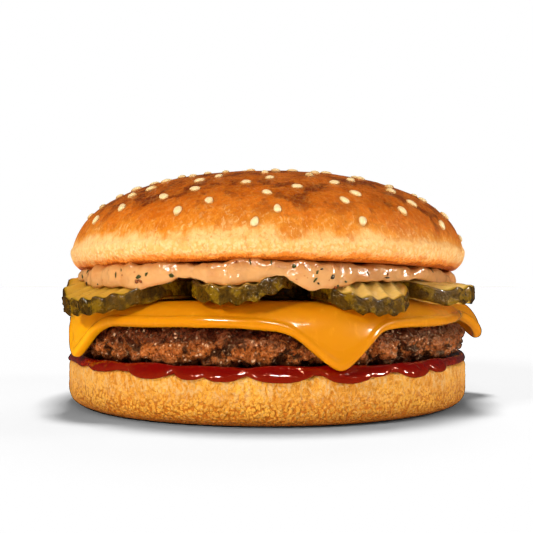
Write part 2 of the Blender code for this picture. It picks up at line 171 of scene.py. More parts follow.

# Sesame seeds: a crowding under 0.5 sets more of them near the rim, and the crust carries painted shade
# round each seed
SEED_COUNT = 126
SEED_SPREAD = 52.2
SEED_CROWDING = 0.44
SEED_SHIFT = 1.3
SEED_SWAY = 0.06
SEED_HALO = (2.1, 1.3)
SEED_SEGMENTS = 14
SEED_RINGS = 9
GOLDEN_TURN = math.radians(137.508)

# Width and height in metres of the soft waves and the finer grain of each surface
BUN_GRAIN = (0.0013, 0.00018)
CROWN_GRAIN = (0.0016, 0.00007)
TOMATO_SWELL = (0.004, 0.00015, 0.0015, 0.00004)
CHEESE_SWELL = (0.013, 0.00025, 0.005, 0.00006)
CREAM_SWELL = (0.0065, 0.0014, 0.0032, 0.0005)

# Herb specks: the rings of the sauce that they stand between, how many there are on a square metre,
# and the shares of the speck size that the least and the most of them measure
SPECK_RINGS = (38, 64)
SPECK_DENSITY = 42000.0
SPECK_SEED = 4
SPECK_LEAST = (0.3, 0.25, 0.22)
SPECK_MOST = (1.5, 0.9, 0.5)

# Camera and stage
CAMERA_PLACE = (-0.00028, -0.240, 0.0316)
CAMERA_PITCH = math.radians(91.117)
CAMERA_LENS = 58.2
SENSOR_WIDTH = 36.0
WARM_SHINE = (1.0, 0.72, 0.34)
FLOOR_SIDE = 12.0
LAMP_AIM = Vector((0.0, 0.0, 0.03))

# Lamps: place and size in metres. Broad ones light the burger and small ones are only its shine
LAMPS = (
    ("shade", (0.0, 0.06, 0.60), (0.14, 0.14)),
    ("key", (-0.46, -0.48, 0.42), (0.14, 0.14)),
    ("top", (-0.05, -0.22, 0.66), (0.30, 0.20)),
    ("back", (0.08, 0.42, 0.52), (0.30, 0.20)),
    ("rim", (0.50, 0.02, 0.24), (0.08, 0.30)),
    ("fill", (0.25, -0.70, 0.20), (0.50, 0.40)),
)
GLINTS = (
    ("key", (-0.30, -0.52, 0.46), (0.10, 0.05)),
    ("top", (0.06, -0.40, 0.62), (0.12, 0.04)),
    ("rim", (0.46, -0.18, 0.26), (0.03, 0.12)),
)


def length(name, description, default):
    """Setting that holds a real length in metres."""
    return bpy.props.FloatProperty(
        name=name, description=description, default=default, min=0.0, unit="LENGTH", precision=5
    )


def colour(name, description, default):
    """Setting that holds a colour."""
    return bpy.props.FloatVectorProperty(
        name=name, description=description, default=default, size=3, min=0.0, max=1.0, subtype="COLOR"
    )


def power(name, description, default):
    """Setting that holds the power of a lamp in watts."""
    return bpy.props.FloatProperty(
        name=name, description=description, default=default, min=0.0, unit="POWER"
    )


class BreadSettings(bpy.types.PropertyGroup):
    """Sizes and colours of the two halves of the bun and of the seeds."""

    crust: colour("Crust", "Deep brown of the crown's baked top", (0.40, 0.074, 0.002))
    amber: colour("Amber", "Orange brown crust round the deep brown", (0.62, 0.125, 0.005))
    golden: colour("Golden", "Golden bread between the top and the heel", (0.72, 0.243, 0.018))
    pale: colour("Pale", "Pale bread near the heel", (0.88, 0.52, 0.20))
    toast: colour("Toast", "Toasted edge of the cut", (0.42, 0.075, 0.004))
    base: colour("Base", "Golden side of the lower bun", (1.0, 0.46, 0.055))
    # Also used for painted shade in the pits of the lower bun's pebbled crust
    base_dark: colour("Base shade", "Pits and under edge of the lower bun", (0.58, 0.135, 0.007))
    wrinkle_size: length("Wrinkle size", "Width of a soft wrinkle of the crust", 0.006)
    wrinkle_depth: length("Wrinkle depth", "Height of a soft wrinkle of the crust", 0.00022)
    seed: colour("Seed", "Pale body of a sesame seed", (0.95, 0.64, 0.30))
    seed_end: colour("Seed end", "Tan end and rim of a seed", (0.60, 0.26, 0.06))
    seed_length: length("Seed length", "Length of a sesame seed", 0.0030)
    seed_width: length("Seed width", "Width of a sesame seed", 0.0020)
    seed_depth: length("Seed depth", "Thickness of a sesame seed", 0.0013)


class FillingSettings(bpy.types.PropertyGroup):
    """Sizes and colours of what lies between the two halves of the bun."""

    meat: colour("Meat", "Browned mince", (0.25, 0.052, 0.009))
    # Painted shade: the dark that fills the crevices and dents of the mince
    meat_dark: colour("Char", "Charred crevices of the mince", (0.018, 0.004, 0.002))
    meat_warm: colour("Warm mince", "Warm orange brown patches", (0.44, 0.104, 0.015))
    lump_size: length("Lump size", "Width of a lump of mince", 0.0050)
    lump_depth: length("Lump depth", "Depth of the crevices between lumps", 0.0013)
    clump_size: length("Clump size", "Width of a clump of mince", 0.0021)
    clump_depth: length("Clump depth", "Depth of the hollows between clumps", 0.0010)
    grain_depth: length("Grain depth", "Depth of the fine grain of the mince", 0.0005)
    cheese: colour("Cheese", "Melted cheese", (0.62, 0.208, 0.002))
    # Painted shade on the cheese near and under the pickles
    cheese_deep: colour("Deep cheese", "Shaded cheese near the pickles", (0.78, 0.240, 0.001))
    tomato: colour("Tomato", "Thick tomato sauce", (0.17, 0.0012, 0.0003))
    tomato_thin: colour("Thin tomato", "Thin rim of the tomato sauce", (0.20, 0.012, 0.002))
    skin: colour("Pickle skin", "Olive skin of a pickle", (0.095, 0.039, 0.0006))
    skin_dark: colour("Dark skin", "Dark stripes of the skin", (0.028, 0.013, 0.001))
    flesh: colour("Flesh", "Ochre flesh of a ripe slice", (0.50, 0.24, 0.008))
    flesh_pale: colour("Pale flesh", "Khaki flesh of a pale slice", (0.86, 0.60, 0.17))
    cream: colour("Cream sauce", "Orange pink burger sauce", (0.68, 0.325, 0.105))
    cream_deep: colour("Deep sauce", "Folds of the burger sauce", (0.58, 0.19, 0.04))
    wart_size: length("Wart spacing", "Spacing of the warts on a pickle's skin", 0.0012)
    wart_height: length("Wart height", "Height of a wart on a pickle's skin", 0.00028)
    speck_size: length("Speck size", "Width of a speck of herb in the sauce", 0.0011)


class StageSettings(bpy.types.PropertyGroup):
    """Lamps and floor of the studio."""

    floor: colour("Floor", "Plain pale floor", (0.65, 0.65, 0.65))
    key: power("Key lamp", "Power of the large lamp at the upper left", 3.6)
    top: power("Top lamp", "Power of the lamp above", 1.2)
    rim: power("Rim lamp", "Power of the narrow lamp at the right", 1.0)
    back: power("Back lamp", "Power of the lamp behind, which shades the floor in front", 1.0)
    fill: power("Fill lamp", "Power of the soft lamp at the front", 1.1)
    shade: power("Shade lamp", "Power of the lamp above that only the floor receives", 8.0)
    glint: power("Glint lamps", "Power of each small lamp that wet surfaces shine with", 3.0)
    ambient: bpy.props.FloatProperty(
        name="Ambient", description="Strength of the white surround", default=0.13
    )


class Value:
    """A node's output that can stand in plain arithmetic."""

    def __init__(self, graph, socket):
        self.graph = graph
        self.socket = socket

    def math(self, operation, first, second=0.0):
        return self.graph.node("ShaderNodeMath", {"operation": operation}, {0: first, 1: second})

    def __add__(self, other):
        return self.math("ADD", self, other)

    def __sub__(self, other):
        return self.math("SUBTRACT", self, other)

    def __rsub__(self, other):
        return self.math("SUBTRACT", other, self)

    def __mul__(self, other):
        return self.math("MULTIPLY", self, other)

    def __rtruediv__(self, other):
        return self.math("DIVIDE", other, self)

    def __abs__(self):
        return self.math("ABSOLUTE", self)

    def step(self, low, high):
        """Smooth step from 0 at low to 1 at high."""
        settings = {"interpolation_type": "SMOOTHSTEP"}
        return self.graph.node("ShaderNodeMapRange", settings, {0: self, 1: low, 2: high})

    def about(self, reach):
        """Noise about zero in place of about a half, times a reach."""
        return reach * (self - 0.5)

    __radd__ = __add__
    __rmul__ = __mul__


class Graph:
    """A node tree written as expressions."""

    def __init__(self, tree):
        self.tree = tree

    def node(self, kind, settings=None, inputs=None, output=0):
        """Adds a node: its settings first, then the values or links of its sockets."""
        made = self.tree.nodes.new(kind)
        for label, value in (settings or {}).items():
            setattr(made, label, value)
        for label, value in (inputs or {}).items():
            self.feed(made.inputs[label], value)
        return Value(self, made.outputs[output])

    def feed(self, socket, value):
        if isinstance(value, Value):
            self.tree.links.new(value.socket, socket)
        elif socket.type == "RGBA" and len(value) == 3:
            socket.default_value = (*value, 1.0)
        else:
            socket.default_value = value

    def output(self, value, name):
        """Another output of the node that a value comes from."""
        return Value(self, value.socket.node.outputs[name])

    def layers(self, colour, *coats):
        """A colour with others laid over it in turn, each with its own share."""
        for share, coat in coats:
            inputs = {0: share, 6: colour, 7: coat}
            colour = self.node("ShaderNodeMix", {"data_type": "RGBA"}, inputs, 2)
        return colour

    def vector(self, operation, first, second):
        return self.node("ShaderNodeVectorMath", {"operation": operation}, {0: first, 1: second})

    def part(self, vector, axis):
        return self.node("ShaderNodeSeparateXYZ", {}, {0: vector}, axis)

    def scaled(self, vector, value):
        """A vector times a number."""
        return self.node("ShaderNodeVectorMath", {"operation": "SCALE"}, {0: vector, "Scale": value})

    def noise(self, place, scale, detail=2.0, roughness=0.5, distortion=0.0):
        inputs = {"Vector": place, "Scale": scale, "Detail": detail}
        inputs.update({"Roughness": roughness, "Distortion": distortion})
        return self.node("ShaderNodeTexNoise", {}, inputs)

    def cells(self, place, scale, feature="F1", smoothness=None):
        inputs = {"Vector": place, "Scale": scale}
        if smoothness is not None:
            inputs["Smoothness"] = smoothness
        return self.node("ShaderNodeTexVoronoi", {"feature": feature}, inputs)


class Finish(Graph):
    """A material on one Principled shader, with places in millimetres."""

    def __init__(self, name, constants):
        self.material = bpy.data.materials.new(name)
        self.material.use_nodes = True
        super().__init__(self.material.node_tree)
        self.shader = self.tree.nodes["Principled BSDF"]
        self.feed(self.shader.inputs["Specular Tint"], WARM_SHINE)
        for label, value in constants.items():
            self.feed(self.shader.inputs[label], value)
        self.place = self.stretched(1.0, 1.0, 1.0)

    def stretched(self, *shares):
        """Object coordinates in millimetres, times a share along each axis."""
        found = self.node("ShaderNodeTexCoord", output="Object")
        return self.vector("MULTIPLY", found, tuple(share / MM for share in shares))

    def attribute(self, name):
        return self.node("ShaderNodeAttribute", {"attribute_name": name}, output="Fac")

    def grain(self, size, detail=2.0, roughness=0.5, distortion=0.0, place=None):
        """Noise of a feature size in millimetres, from about 0 to 1."""
        return self.noise(place or self.place, 1.0 / size, detail, roughness, distortion)

    def pebbles(self, size, place):
        """Cell distance of a cell size in millimetres."""
        return self.cells(place, 1.0 / size)

    def wobble(self, size, reach):
        """Places shifted by noise, so that patterns on them run less straight."""
        swirl = self.output(self.grain(size), "Color")
        shift = self.scaled(self.vector("SUBTRACT", swirl, (0.5, 0.5, 0.5)), 2.0 * reach)
        return self.vector("ADD", self.place, shift)

    def bump(self, height, rise):
        """Relief in the shader that is rise millimetres high where its height is 1."""
        inputs = {"Height": height, "Distance": rise * MM, "Strength": 1.0}
        self.feed(self.shader.inputs["Normal"], self.node("ShaderNodeBump", {}, inputs))

    def paint(self, colour, roughness=None, coat=None):
        """The material, with what varies over it in place."""
        for label, value in (("Base Color", colour), ("Roughness", roughness), ("Coat Weight", coat)):
            if value is not None:
                self.feed(self.shader.inputs[label], value)
        return self.material


class Form(Graph):
    """A Geometry Nodes tree with named inputs, which ends in real faces with a material."""

    def __init__(self, name, inputs):
        super().__init__(bpy.data.node_groups.new(name, "GeometryNodeTree"))
        faces = self.tree.interface
        faces.new_socket("Geometry", in_out="INPUT", socket_type="NodeSocketGeometry")
        faces.new_socket("Geometry", in_out="OUTPUT", socket_type="NodeSocketGeometry")
        self.keys = []
        for label in (*inputs, "Material"):
            kind = {"Seed": "NodeSocketInt", "Material": "NodeSocketMaterial"}.get(label, "NodeSocketFloat")
            self.keys.append(faces.new_socket(label, in_out="INPUT", socket_type=kind).identifier)
        self.entry = self.tree.nodes.new("NodeGroupInput")
        self.place = self.node("GeometryNodeInputPosition")

    def given(self, label):
        return Value(self, self.entry.outputs[label])

    def attribute(self, name, kind="FLOAT"):
        return self.node("GeometryNodeInputNamedAttribute", {"data_type": kind}, {"Name": name})

    def move(self, geometry, amount):
        """Moves the surface along its normals."""
        normal = self.node("GeometryNodeInputNormal")
        inputs = {"Geometry": geometry, "Offset": self.scaled(normal, amount)}
        return self.node("GeometryNodeSetPosition", {}, inputs)

    def store(self, geometry, name, value):
        inputs = {"Geometry": geometry, "Name": name, "Value": value}
        return self.node("GeometryNodeStoreNamedAttribute", {"data_type": "FLOAT"}, inputs)

    def end(self, geometry):
        real = self.node("GeometryNodeRealizeInstances", {}, {"Geometry": geometry})
        inputs = {"Geometry": real, "Material": self.given("Material")}
        painted = self.node("GeometryNodeSetMaterial", {}, inputs)
        leave = self.tree.nodes.new("NodeGroupOutput")
        self.tree.links.new(painted.socket, leave.inputs[0])
        return self

    def run(self, piece, finish, *values):
        """Turns a piece into the plain mesh that the tree makes of it, with values in their order."""
        modifier = piece.modifiers.new(self.tree.name, "NODES")
        modifier.node_group = self.tree
        for key, value in zip(self.keys, (*values, finish)):
            modifier[key] = value
        graph = bpy.context.evaluated_depsgraph_get()
        made = bpy.data.meshes.new_from_object(piece.evaluated_get(graph))
        piece.modifiers.remove(modifier)
        plain = piece.data
        piece.data = made
        bpy.data.meshes.remove(plain)
        return piece


def polar(radius, turn, height):
    """Points at distances from the middle line, turned from the front."""
    radius, turn, height = np.broadcast_arrays(radius, turn, height)
    return np.stack([radius * np.sin(turn), -radius * np.cos(turn), height], axis=-1)


def turns(count):
    return np.arange(count) * TAU / count


def apart(turn, degrees):
    """Signed turn from a place in degrees to these turns, within half a round."""
    return (turn - math.radians(degrees) + math.pi) % TAU - math.pi


def ease(low, high, value):
    share = np.clip((value - low) / (high - low), 0.0, 1.0)
    return share * share * (3.0 - 2.0 * share)


def spline(points, per=8):
    """Smooth path through a few points."""
    points = np.asarray(points, float)
    ends = np.vstack([2 * points[0] - points[1], points, 2 * points[-1] - points[-2]])
    share = np.linspace(0.0, 1.0, per, endpoint=False)[:, None]
    runs = []
    for before, start, stop, after in zip(ends, ends[1:], ends[2:], ends[3:]):
        bend = 2 * before - 5 * start + 4 * stop - after
        swing = 3 * start - before - 3 * stop + after
        runs.append(0.5 * (2 * start + (stop - before) * share + bend * share**2 + swing * share**3))
    return np.vstack(runs + [points[-1:]])


def even(path, pitch):
    """The same path with points at an even pitch."""
    path = np.asarray(path, float)
    run = np.concatenate([[0.0], np.cumsum(np.linalg.norm(np.diff(path, axis=0), axis=1))])
    at = np.linspace(0.0, run[-1], max(round(run[-1] / pitch), 1) + 1)
    return np.column_stack([np.interp(at, run, path[:, axis]) for axis in range(path.shape[1])])


def level(start, stop, count, height):
    """Flat run of a profile between two radii, without its first point."""
    return np.column_stack([np.linspace(start, stop, count + 1)[1:], np.full(count, height)])


def add_object(name, data):
    made = bpy.data.objects.new(name, data)
    bpy.context.scene.collection.objects.link(made)
    return made


def make_body(name, rings, shades):
    """Closed piece out of rings of points from one pole to the other, with values for its finish."""
    levels, count = rings.shape[:2]
    ends = [rings[:1].mean(axis=1), rings[-1:].mean(axis=1)]
    points = np.vstack([ends[0], rings.reshape(-1, 3), ends[1]]) * MM
    step = np.arange(count)
    after = (step + 1) % count
    low = 1 + np.arange(levels - 1)[:, None] * count
    quads = np.stack([low + step, low + after, low + count + after, low + count + step], axis=-1)
    top = 1 + (levels - 1) * count
    first = np.stack([np.zeros(count, int), 1 + after, 1 + step], axis=-1)
    last = np.stack([top + step, top + after, np.full(count, len(points) - 1)], axis=-1)
    mesh = bpy.data.meshes.new(name)
    mesh.from_pydata(points, [], quads.reshape(-1, 4).tolist() + first.tolist() + last.tolist())
    for label, values in shades.items():
        values = np.broadcast_to(values, (levels, count))
        flat = np.concatenate([[values[0].mean()], values.ravel(), [values[-1].mean()]])
        mesh.attributes.new(label, "FLOAT", "POINT").data.foreach_set("value", flat.astype(np.float32))
    return add_object(name, mesh)


def settle(piece, slot, *nodes):
    """Smooths a finished piece, and lets it ride and stand for its solids."""
    piece.data.shade_smooth()
    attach(piece, "root")
    if nodes:
        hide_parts(*nodes)
    return piece


def swell_form():
    """Soft swells and a finer grain over a surface, held back where its show value is low."""
    form = Form("swell", ["Wave Size", "Wave Depth", "Grain Size", "Grain Depth"])
    wave = form.noise(form.place, 1.0 / form.given("Wave Size"), 1.0) - 0.5
    grain = form.noise(form.place, 1.0 / form.given("Grain Size"), 2.0) - 0.5
    amount = 2.0 * (wave * form.given("Wave Depth") + grain * form.given("Grain Depth"))
    moved = form.move(form.given("Geometry"), amount * form.attribute("show"))
    return form.end(moved)


def mince_form():
    """Lumps and clumps of mince, and a value that tells how deep between them each point lies."""
    form = Form("mince", ["Lump Size", "Lump Depth", "Clump Size", "Clump Depth", "Grain Depth"])
    size = form.given("Clump Size")
    swirl = form.output(form.noise(form.place, 0.7 / size, 3.0), "Color")
    swirl = form.vector("SUBTRACT", swirl, (0.5, 0.5, 0.5))
    place = form.vector("ADD", form.place, form.scaled(swirl, 1.3 * size))
    lump = form.cells(place, 1.0 / form.given("Lump Size"), "SMOOTH_F1", 0.25)
    clump = form.cells(place, 1.0 / size, "SMOOTH_F1", 0.3)
    crumb = form.noise(place, 2.2 / size, 3.0) - 0.5
    lumps = lump.step(0.25, 0.85)
    clumps = clump.step(0.15, 0.8)
    amount = form.given("Lump Depth") * (0.35 - lumps) + form.given("Clump Depth") * (0.4 - clumps)
    amount = amount + form.given("Grain Depth") * crumb
    moved = form.move(form.given("Geometry"), amount * form.attribute("show"))
    # The mince finish uses this depth for its painted crevice shade
    hollow = 0.5 * lumps + 0.5 * clumps - 0.5 * crumb
    return form.end(form.store(moved, "hollow", hollow))


def wart_form():
    """Small warts on the skin of a pickle, and soft dimples on its flesh."""
    form = Form("warts", ["Wart Spacing", "Wart Height"])
    scale = 1.0 / form.given("Wart Spacing")
    wart = 1.0 - form.cells(form.place, scale).step(0.08, 0.34)
    skin = form.attribute("skin")
    dimple = form.noise(form.place, 0.6 * scale, 2.0) - 0.5
    amount = form.given("Wart Height") * (wart * skin + dimple * (1.6 - skin))
    moved = form.move(form.given("Geometry"), amount)
    return form.end(form.store(moved, "wart", wart * skin))


def seed_form():
    """Plump pointed seeds on points that carry their turn and growth."""
    form = Form("seeds", ["Seed Length", "Seed Width", "Seed Depth"])
    grid = {"Segments": SEED_SEGMENTS, "Rings": SEED_RINGS, "Radius": 1.0}
    ball = form.node("GeometryNodeMeshUVSphere", {}, grid)
    along = form.part(form.place, "X")
    taper = 0.5 - 0.15 * along
    size = form.node("ShaderNodeCombineXYZ", {}, {
        "X": 0.5 * form.given("Seed Length"),
        "Y": taper * form.given("Seed Width"),
        "Z": 0.5 * form.given("Seed Depth"),
    })
    ball = form.store(ball, "end", along)
    # Local height of each point, which the seed finish uses for painted shade at the seed's foot
    ball = form.store(ball, "up", form.part(form.place, "Z"))
    shaped = form.vector("MULTIPLY", form.place, size)
    ball = form.node("GeometryNodeSetPosition", {}, {"Geometry": ball, "Position": shaped})
    angles = form.attribute("angles", "FLOAT_VECTOR")
    placed = form.node("GeometryNodeInstanceOnPoints", {}, {
        "Points": form.given("Geometry"),
        "Instance": ball,
        "Rotation": form.node("FunctionNodeEulerToRotation", {}, {0: angles}),
        "Scale": form.attribute("growth"),
    })
    return form.end(placed)


def speck_form():
    """Flat specks scattered over the shown part of a surface."""
    form = Form("specks", ["Speck Size", "Density", "Seed"])
    scatter = form.node("GeometryNodeDistributePointsOnFaces", {}, {
        "Mesh": form.given("Geometry"),
        "Selection": form.attribute("outer").step(0.4, 0.6),
        "Density": form.given("Density"),
        "Seed": form.given("Seed"),
    })
    flake = form.node("GeometryNodeMeshIcoSphere", {}, {"Radius": 0.5, "Subdivisions": 2})
    lump = form.noise(form.place, 2.2) - 0.5
    flake = form.move(flake, lump)
    long = {"data_type": "FLOAT_VECTOR"}
    spread = {0: SPECK_LEAST, 1: SPECK_MOST, "Seed": form.given("Seed")}
    size = form.scaled(form.node("FunctionNodeRandomValue", long, spread), form.given("Speck Size"))
    spin = form.node("FunctionNodeRandomValue", {}, {2: 0.0, 3: TAU}, 1)
    local = form.node("FunctionNodeRotateRotation", {"rotation_space": "LOCAL"}, {
        0: form.output(scatter, "Rotation"),
        1: form.node("FunctionNodeAxisAngleToRotation", {}, {"Angle": spin}),
    })
    placed = form.node("GeometryNodeInstanceOnPoints", {}, {
        "Points": scatter, "Instance": flake, "Rotation": local, "Scale": size,
    })
    kind = form.node("FunctionNodeRandomValue", {}, {2: 0.0, 3: 1.0}, 1)
    inputs = {"Geometry": placed, "Name": "kind", "Value": kind}
    stored = form.node(
        "GeometryNodeStoreNamedAttribute", {"data_type": "FLOAT", "domain": "INSTANCE"}, inputs
    )
    return form.end(stored)


# Lower bun


def bun_scale(turn):
    """Slight unevenness of the lower bun's outline."""
    return 1.0 + 0.0025 * np.sin(3.0 * turn + 1.1) + 0.0015 * np.sin(7.0 * turn)


def bun_finish(bread):
    """Golden bread: pale fibres under the sauce, pebbled below, darker in the pits and at the foot; the dark
    pits and pale pebble tops are partly crumb tone, partly painted shade and painted highlights.
    """
    bun = Finish("crumb", {"Roughness": 0.5, "Specular IOR Level": 0.15})
    height = bun.part(bun.place, "Z")
    fibre = bun.grain(1.1, 3.0, 0.65, 1.2, place=bun.stretched(1.0, 1.0, 0.5))
    cell = bun.pebbles(0.8, bun.wobble(1.1, 0.5))
    fine = bun.grain(0.5, 2.0, 0.7)
    broad = bun.grain(9.0, 3.0)
    upper = (height + broad.about(4.0)).step(4.0, 9.0)
    streak = fibre.step(0.48, 0.6)
    pit = (cell + fine.about(1.1)).step(0.5, 0.68)
    crust = bun.layers(bread.base, (broad.step(0.35, 0.65) * 0.6, bread.golden))
    # Pits darker and pebble tops paler: partly crumb tone, partly painted shade in the pits and painted
    # highlights on the tops
    lower = bun.layers(crust, (pit * 0.85, bread.base_dark), (cell.step(0.32, 0.1) * 0.6, bread.pale))
    ribbed = bun.layers(
        crust,
        (streak * 0.85, bread.pale),
        ((1.0 - fibre.step(0.36, 0.46)) * 0.7, bread.base_dark),
    )
    foot = 1.0 - (height + broad.about(2.0)).step(0.2, 4.0)
    colour = bun.layers(lower, (upper * 0.8, ribbed), (foot * 0.75, bread.base_dark))
    relief = 0.8 * (1.0 - cell) * (1.0 - 0.7 * upper) + 0.9 * fibre * upper + 0.4 * fine
    bun.bump(relief, 1.2)
    return bun.paint(colour)


def build_lower_bun(bread):
    bend = np.radians(np.linspace(0.0, 90.0, 60))
    side = BUN_FOOT + (BUN_RADIUS - BUN_FOOT) * np.sin(bend) ** BUN_POWER[0]
    side = np.column_stack([side, BUN_WAIST * (1.0 - np.abs(np.cos(bend)) ** BUN_POWER[1])])
    edge = np.column_stack([np.cos(bend), np.sin(bend)]) * BUN_EDGE
    edge += (BUN_RADIUS - BUN_EDGE, BUN_TOP - BUN_EDGE)
    outer = even(np.vstack([side, edge]), BUN_PITCH)
    floor = level(0.0, BUN_FOOT, 16, 0.0)[:-1]
    roof = level(BUN_RADIUS - BUN_EDGE, 1.0, 14, BUN_TOP)
    profile = np.vstack([floor, outer, roof])
    turn = turns(BUN_TURNS)
    rings = polar(profile[:, :1] * bun_scale(turn), turn, profile[:, 1:])
    show = ease(0.2, 2.0, rings[..., 2])
    piece = make_body("bun_base", rings, {"show": show})
    swell = (bread.wrinkle_size, bread.wrinkle_depth, *BUN_GRAIN)
    settle(swell_form().run(piece, bun_finish(bread), *swell), "crumb", "lower_bun")


# Tomato sauce


def tomato_reach(turn):
    """How far the tomato sauce runs over the bun's edge."""
    reach = np.full(turn.shape, TOMATO_RIM)
    for lobe, width, far in TOMATO_LOBES:
        off = np.degrees(apart(turn, lobe)) / width
        reach = np.maximum(reach, far * np.sqrt(np.maximum(1.0 - off * off, 0.0)))
    return reach


def tomato_bead(radius, turn):
    """Height of the wet bead of sauce that the patty presses out along its lower edge."""
    swell = BEAD_HEIGHT * (0.86 + 0.1 * np.sin(9.0 * turn) + 0.1 * np.sin(23.0 * turn + 1.0))
    return swell * np.exp(-(((radius - BEAD_PLACE) / BEAD_WIDTH) ** 2))


def tomato_finish(filling):
    """Glossy sauce, deep red where it is thick and browner at its thin rim, with painted shade on its inner
    part under the patty.
    """
    sauce = Finish("tomato", {
        "Subsurface Weight": 0.1, "Subsurface Radius": (1.0, 0.1, 0.05),
        "Subsurface Scale": 0.001, "Specular IOR Level": 0.35, "Specular Tint": (1.0, 0.35, 0.18),
        "Coat Weight": 0.6, "Coat Roughness": 0.04,
    })
    cloud = sauce.grain(3.5, 3.0)
    rim = (sauce.attribute("rim") + cloud.about(0.4)).step(0.35, 0.95)
    # Painted shade on the sauce's inner part, under the patty
    inner = 1.0 - sauce.attribute("show")
    colour = sauce.layers(
        filling.tomato,
        (rim * 0.7, filling.tomato_thin),
        (inner * 0.9, (0.05, 0.004, 0.002)),
    )
    relief = sauce.grain(2.0, 2.0)
    rough = 0.09 + 0.5 * inner
    sauce.bump(relief, 0.4)
    return sauce.paint(colour, rough)


def build_tomato_sauce(filling):
    path = even(spline(TOMATO_SECTION, 10), TOMATO_PITCH)
    turn = turns(TOMATO_TURNS)
    reach = tomato_reach(turn)
    along = path[:, :1] * reach
    lift = path[:, 1:] * TOMATO_ROLL * (0.5 + 0.5 * np.minimum(reach / TOMATO_FULL, 1.0)) + TOMATO_FLOAT
    bend = np.minimum(along / (BUN_EDGE + GAP), 0.5 * math.pi)
    down = np.maximum(along - (BUN_EDGE + GAP) * 0.5 * math.pi, 0.0)
    radius = BUN_RADIUS - BUN_EDGE + (BUN_EDGE + lift) * np.sin(bend)
    height = BUN_TOP - BUN_EDGE + (BUN_EDGE + lift) * np.cos(bend) - down
    height = height + tomato_bead(radius, turn) * ease(0.3, 0.9, path[:, 1:])
    inner = np.linspace(1.0, 0.06, 12)[1:, None] * radius[:1]
    outer = np.linspace(1.0, 0.9, 19)[1:, None] * radius[-1:]
    hub = np.linspace(0.9, 0.06, 10)[1:, None] * radius[-1:]
    top = height[-1:] - tomato_bead(radius[-1:], turn)
    radius = np.concatenate([inner[::-1], radius, outer, hub])
    flat = np.full(inner.shape, BUN_TOP + TOMATO_FLOAT)
    height = np.concatenate([flat, height, top + tomato_bead(outer, turn), top + 0.0 * hub])
    rings = polar(radius * bun_scale(turn), turn, height)
    rim = np.concatenate([np.zeros(len(inner)), path[:, 0], np.zeros(len(outer) + len(hub))])[:, None]
    show = ease(*TOMATO_SHOWN, radius)
    piece = make_body("tomato_spread", rings, {"rim": rim, "show": show})
    settle(swell_form().run(piece, tomato_finish(filling), *TOMATO_SWELL), "tomato", "tomato_sauce")


# Patty


def crag(point):
    """Depth of the broken meat surface at a point."""
    coarse = noise.noise(point / CRAG_SIZE)
    fine = noise.noise(point * 1.9 / CRAG_SIZE + Vector((7.0, 3.0, 1.0)))
    return CRAG_DEPTH * min(max(0.45 + 0.9 * coarse + 0.5 * fine, 0.0), 1.0)


def patty_profile():
    profile = [(radius, PATTY_BOTTOM + rise) for radius, rise in PATTY_SIDE]
    hub = PATTY_TOP - PATTY_SHOULDER
    for degrees in (18.0, 45.0, 72.0):
        bend = math.radians(degrees)
        out = CHEESE_FLAT + PATTY_SHOULDER * math.cos(bend)
        profile.append((out, hub + PATTY_SHOULDER * math.sin(bend)))
    profile.append((CHEESE_FLAT - 3.0, PATTY_TOP))
    outer = even(spline(profile), PATTY_PITCH)
    floor = level(0.0, PATTY_SIDE[0][0], 10, PATTY_BOTTOM)[:-1]
    return np.vstack([floor, outer, level(CHEESE_FLAT - 3.0, 1.0, 9, PATTY_TOP)])


def meat_finish(filling):
    """Fried mince: brown clumps and warm patches, with painted black shade in its crevices and at its foot
    against the sauce, and painted highlights and small painted wet glints.
    """
    meat = Finish("meat", {"Specular IOR Level": 0.9, "Specular Tint": (1.0, 0.55, 0.25)})
    hollow = meat.attribute("hollow")
    height = meat.part(meat.place, "Z")
    cloud = meat.grain(8.0, 3.0)
    blotch = meat.grain(2.0, 4.0, 0.65, place=meat.wobble(3.0, 1.0))
    fine = meat.grain(0.7, 3.0, 0.65)
    warm = (cloud + blotch.about(0.7)).step(0.4, 0.62)
    dark = (hollow + blotch.about(0.7)).step(0.44, 0.72)
    char = (height + cloud.about(4.0) + blotch.about(2.5)).step(16.8, 20.4)
    # Painted shade at the patty's foot, in the crevice against the tomato sauce
    low = 1.0 - (height + blotch.about(2.0)).step(13.0, 15.6)
    # Tiny dots for painted wet glints on the mince
    fleck = meat.pebbles(1.5, meat.wobble(1.2, 0.5)).step(0.24, 0.12)
    colour = meat.layers(
        filling.meat,
        (warm, filling.meat_warm),
        # Painted highlight on the raised fine grain
        (fine.step(0.56, 0.64) * 0.5, (0.74, 0.30, 0.09)),
        # Painted shade in the dents of the fine grain and in the crevices between lumps
        (fine.step(0.47, 0.39) * 0.8, filling.meat_dark),
        (dark * 0.92, filling.meat_dark),
        (char * 0.9, (0.095, 0.011, 0.003)),
        (char * (fine + blotch.about(0.5)).step(0.5, 0.44) * 0.85, (0.012, 0.003, 0.002)),
        (low * 0.85, (0.035, 0.004, 0.002)),
        (fleck * cloud.step(0.4, 0.55) * 0.7, (0.95, 0.58, 0.32)),
    )
    relief = 0.9 * blotch + 0.6 * fine
    rough = 0.1 + 0.22 * blotch.step(0.35, 0.6)
    meat.bump(relief, 1.2)
    return meat.paint(colour, rough)


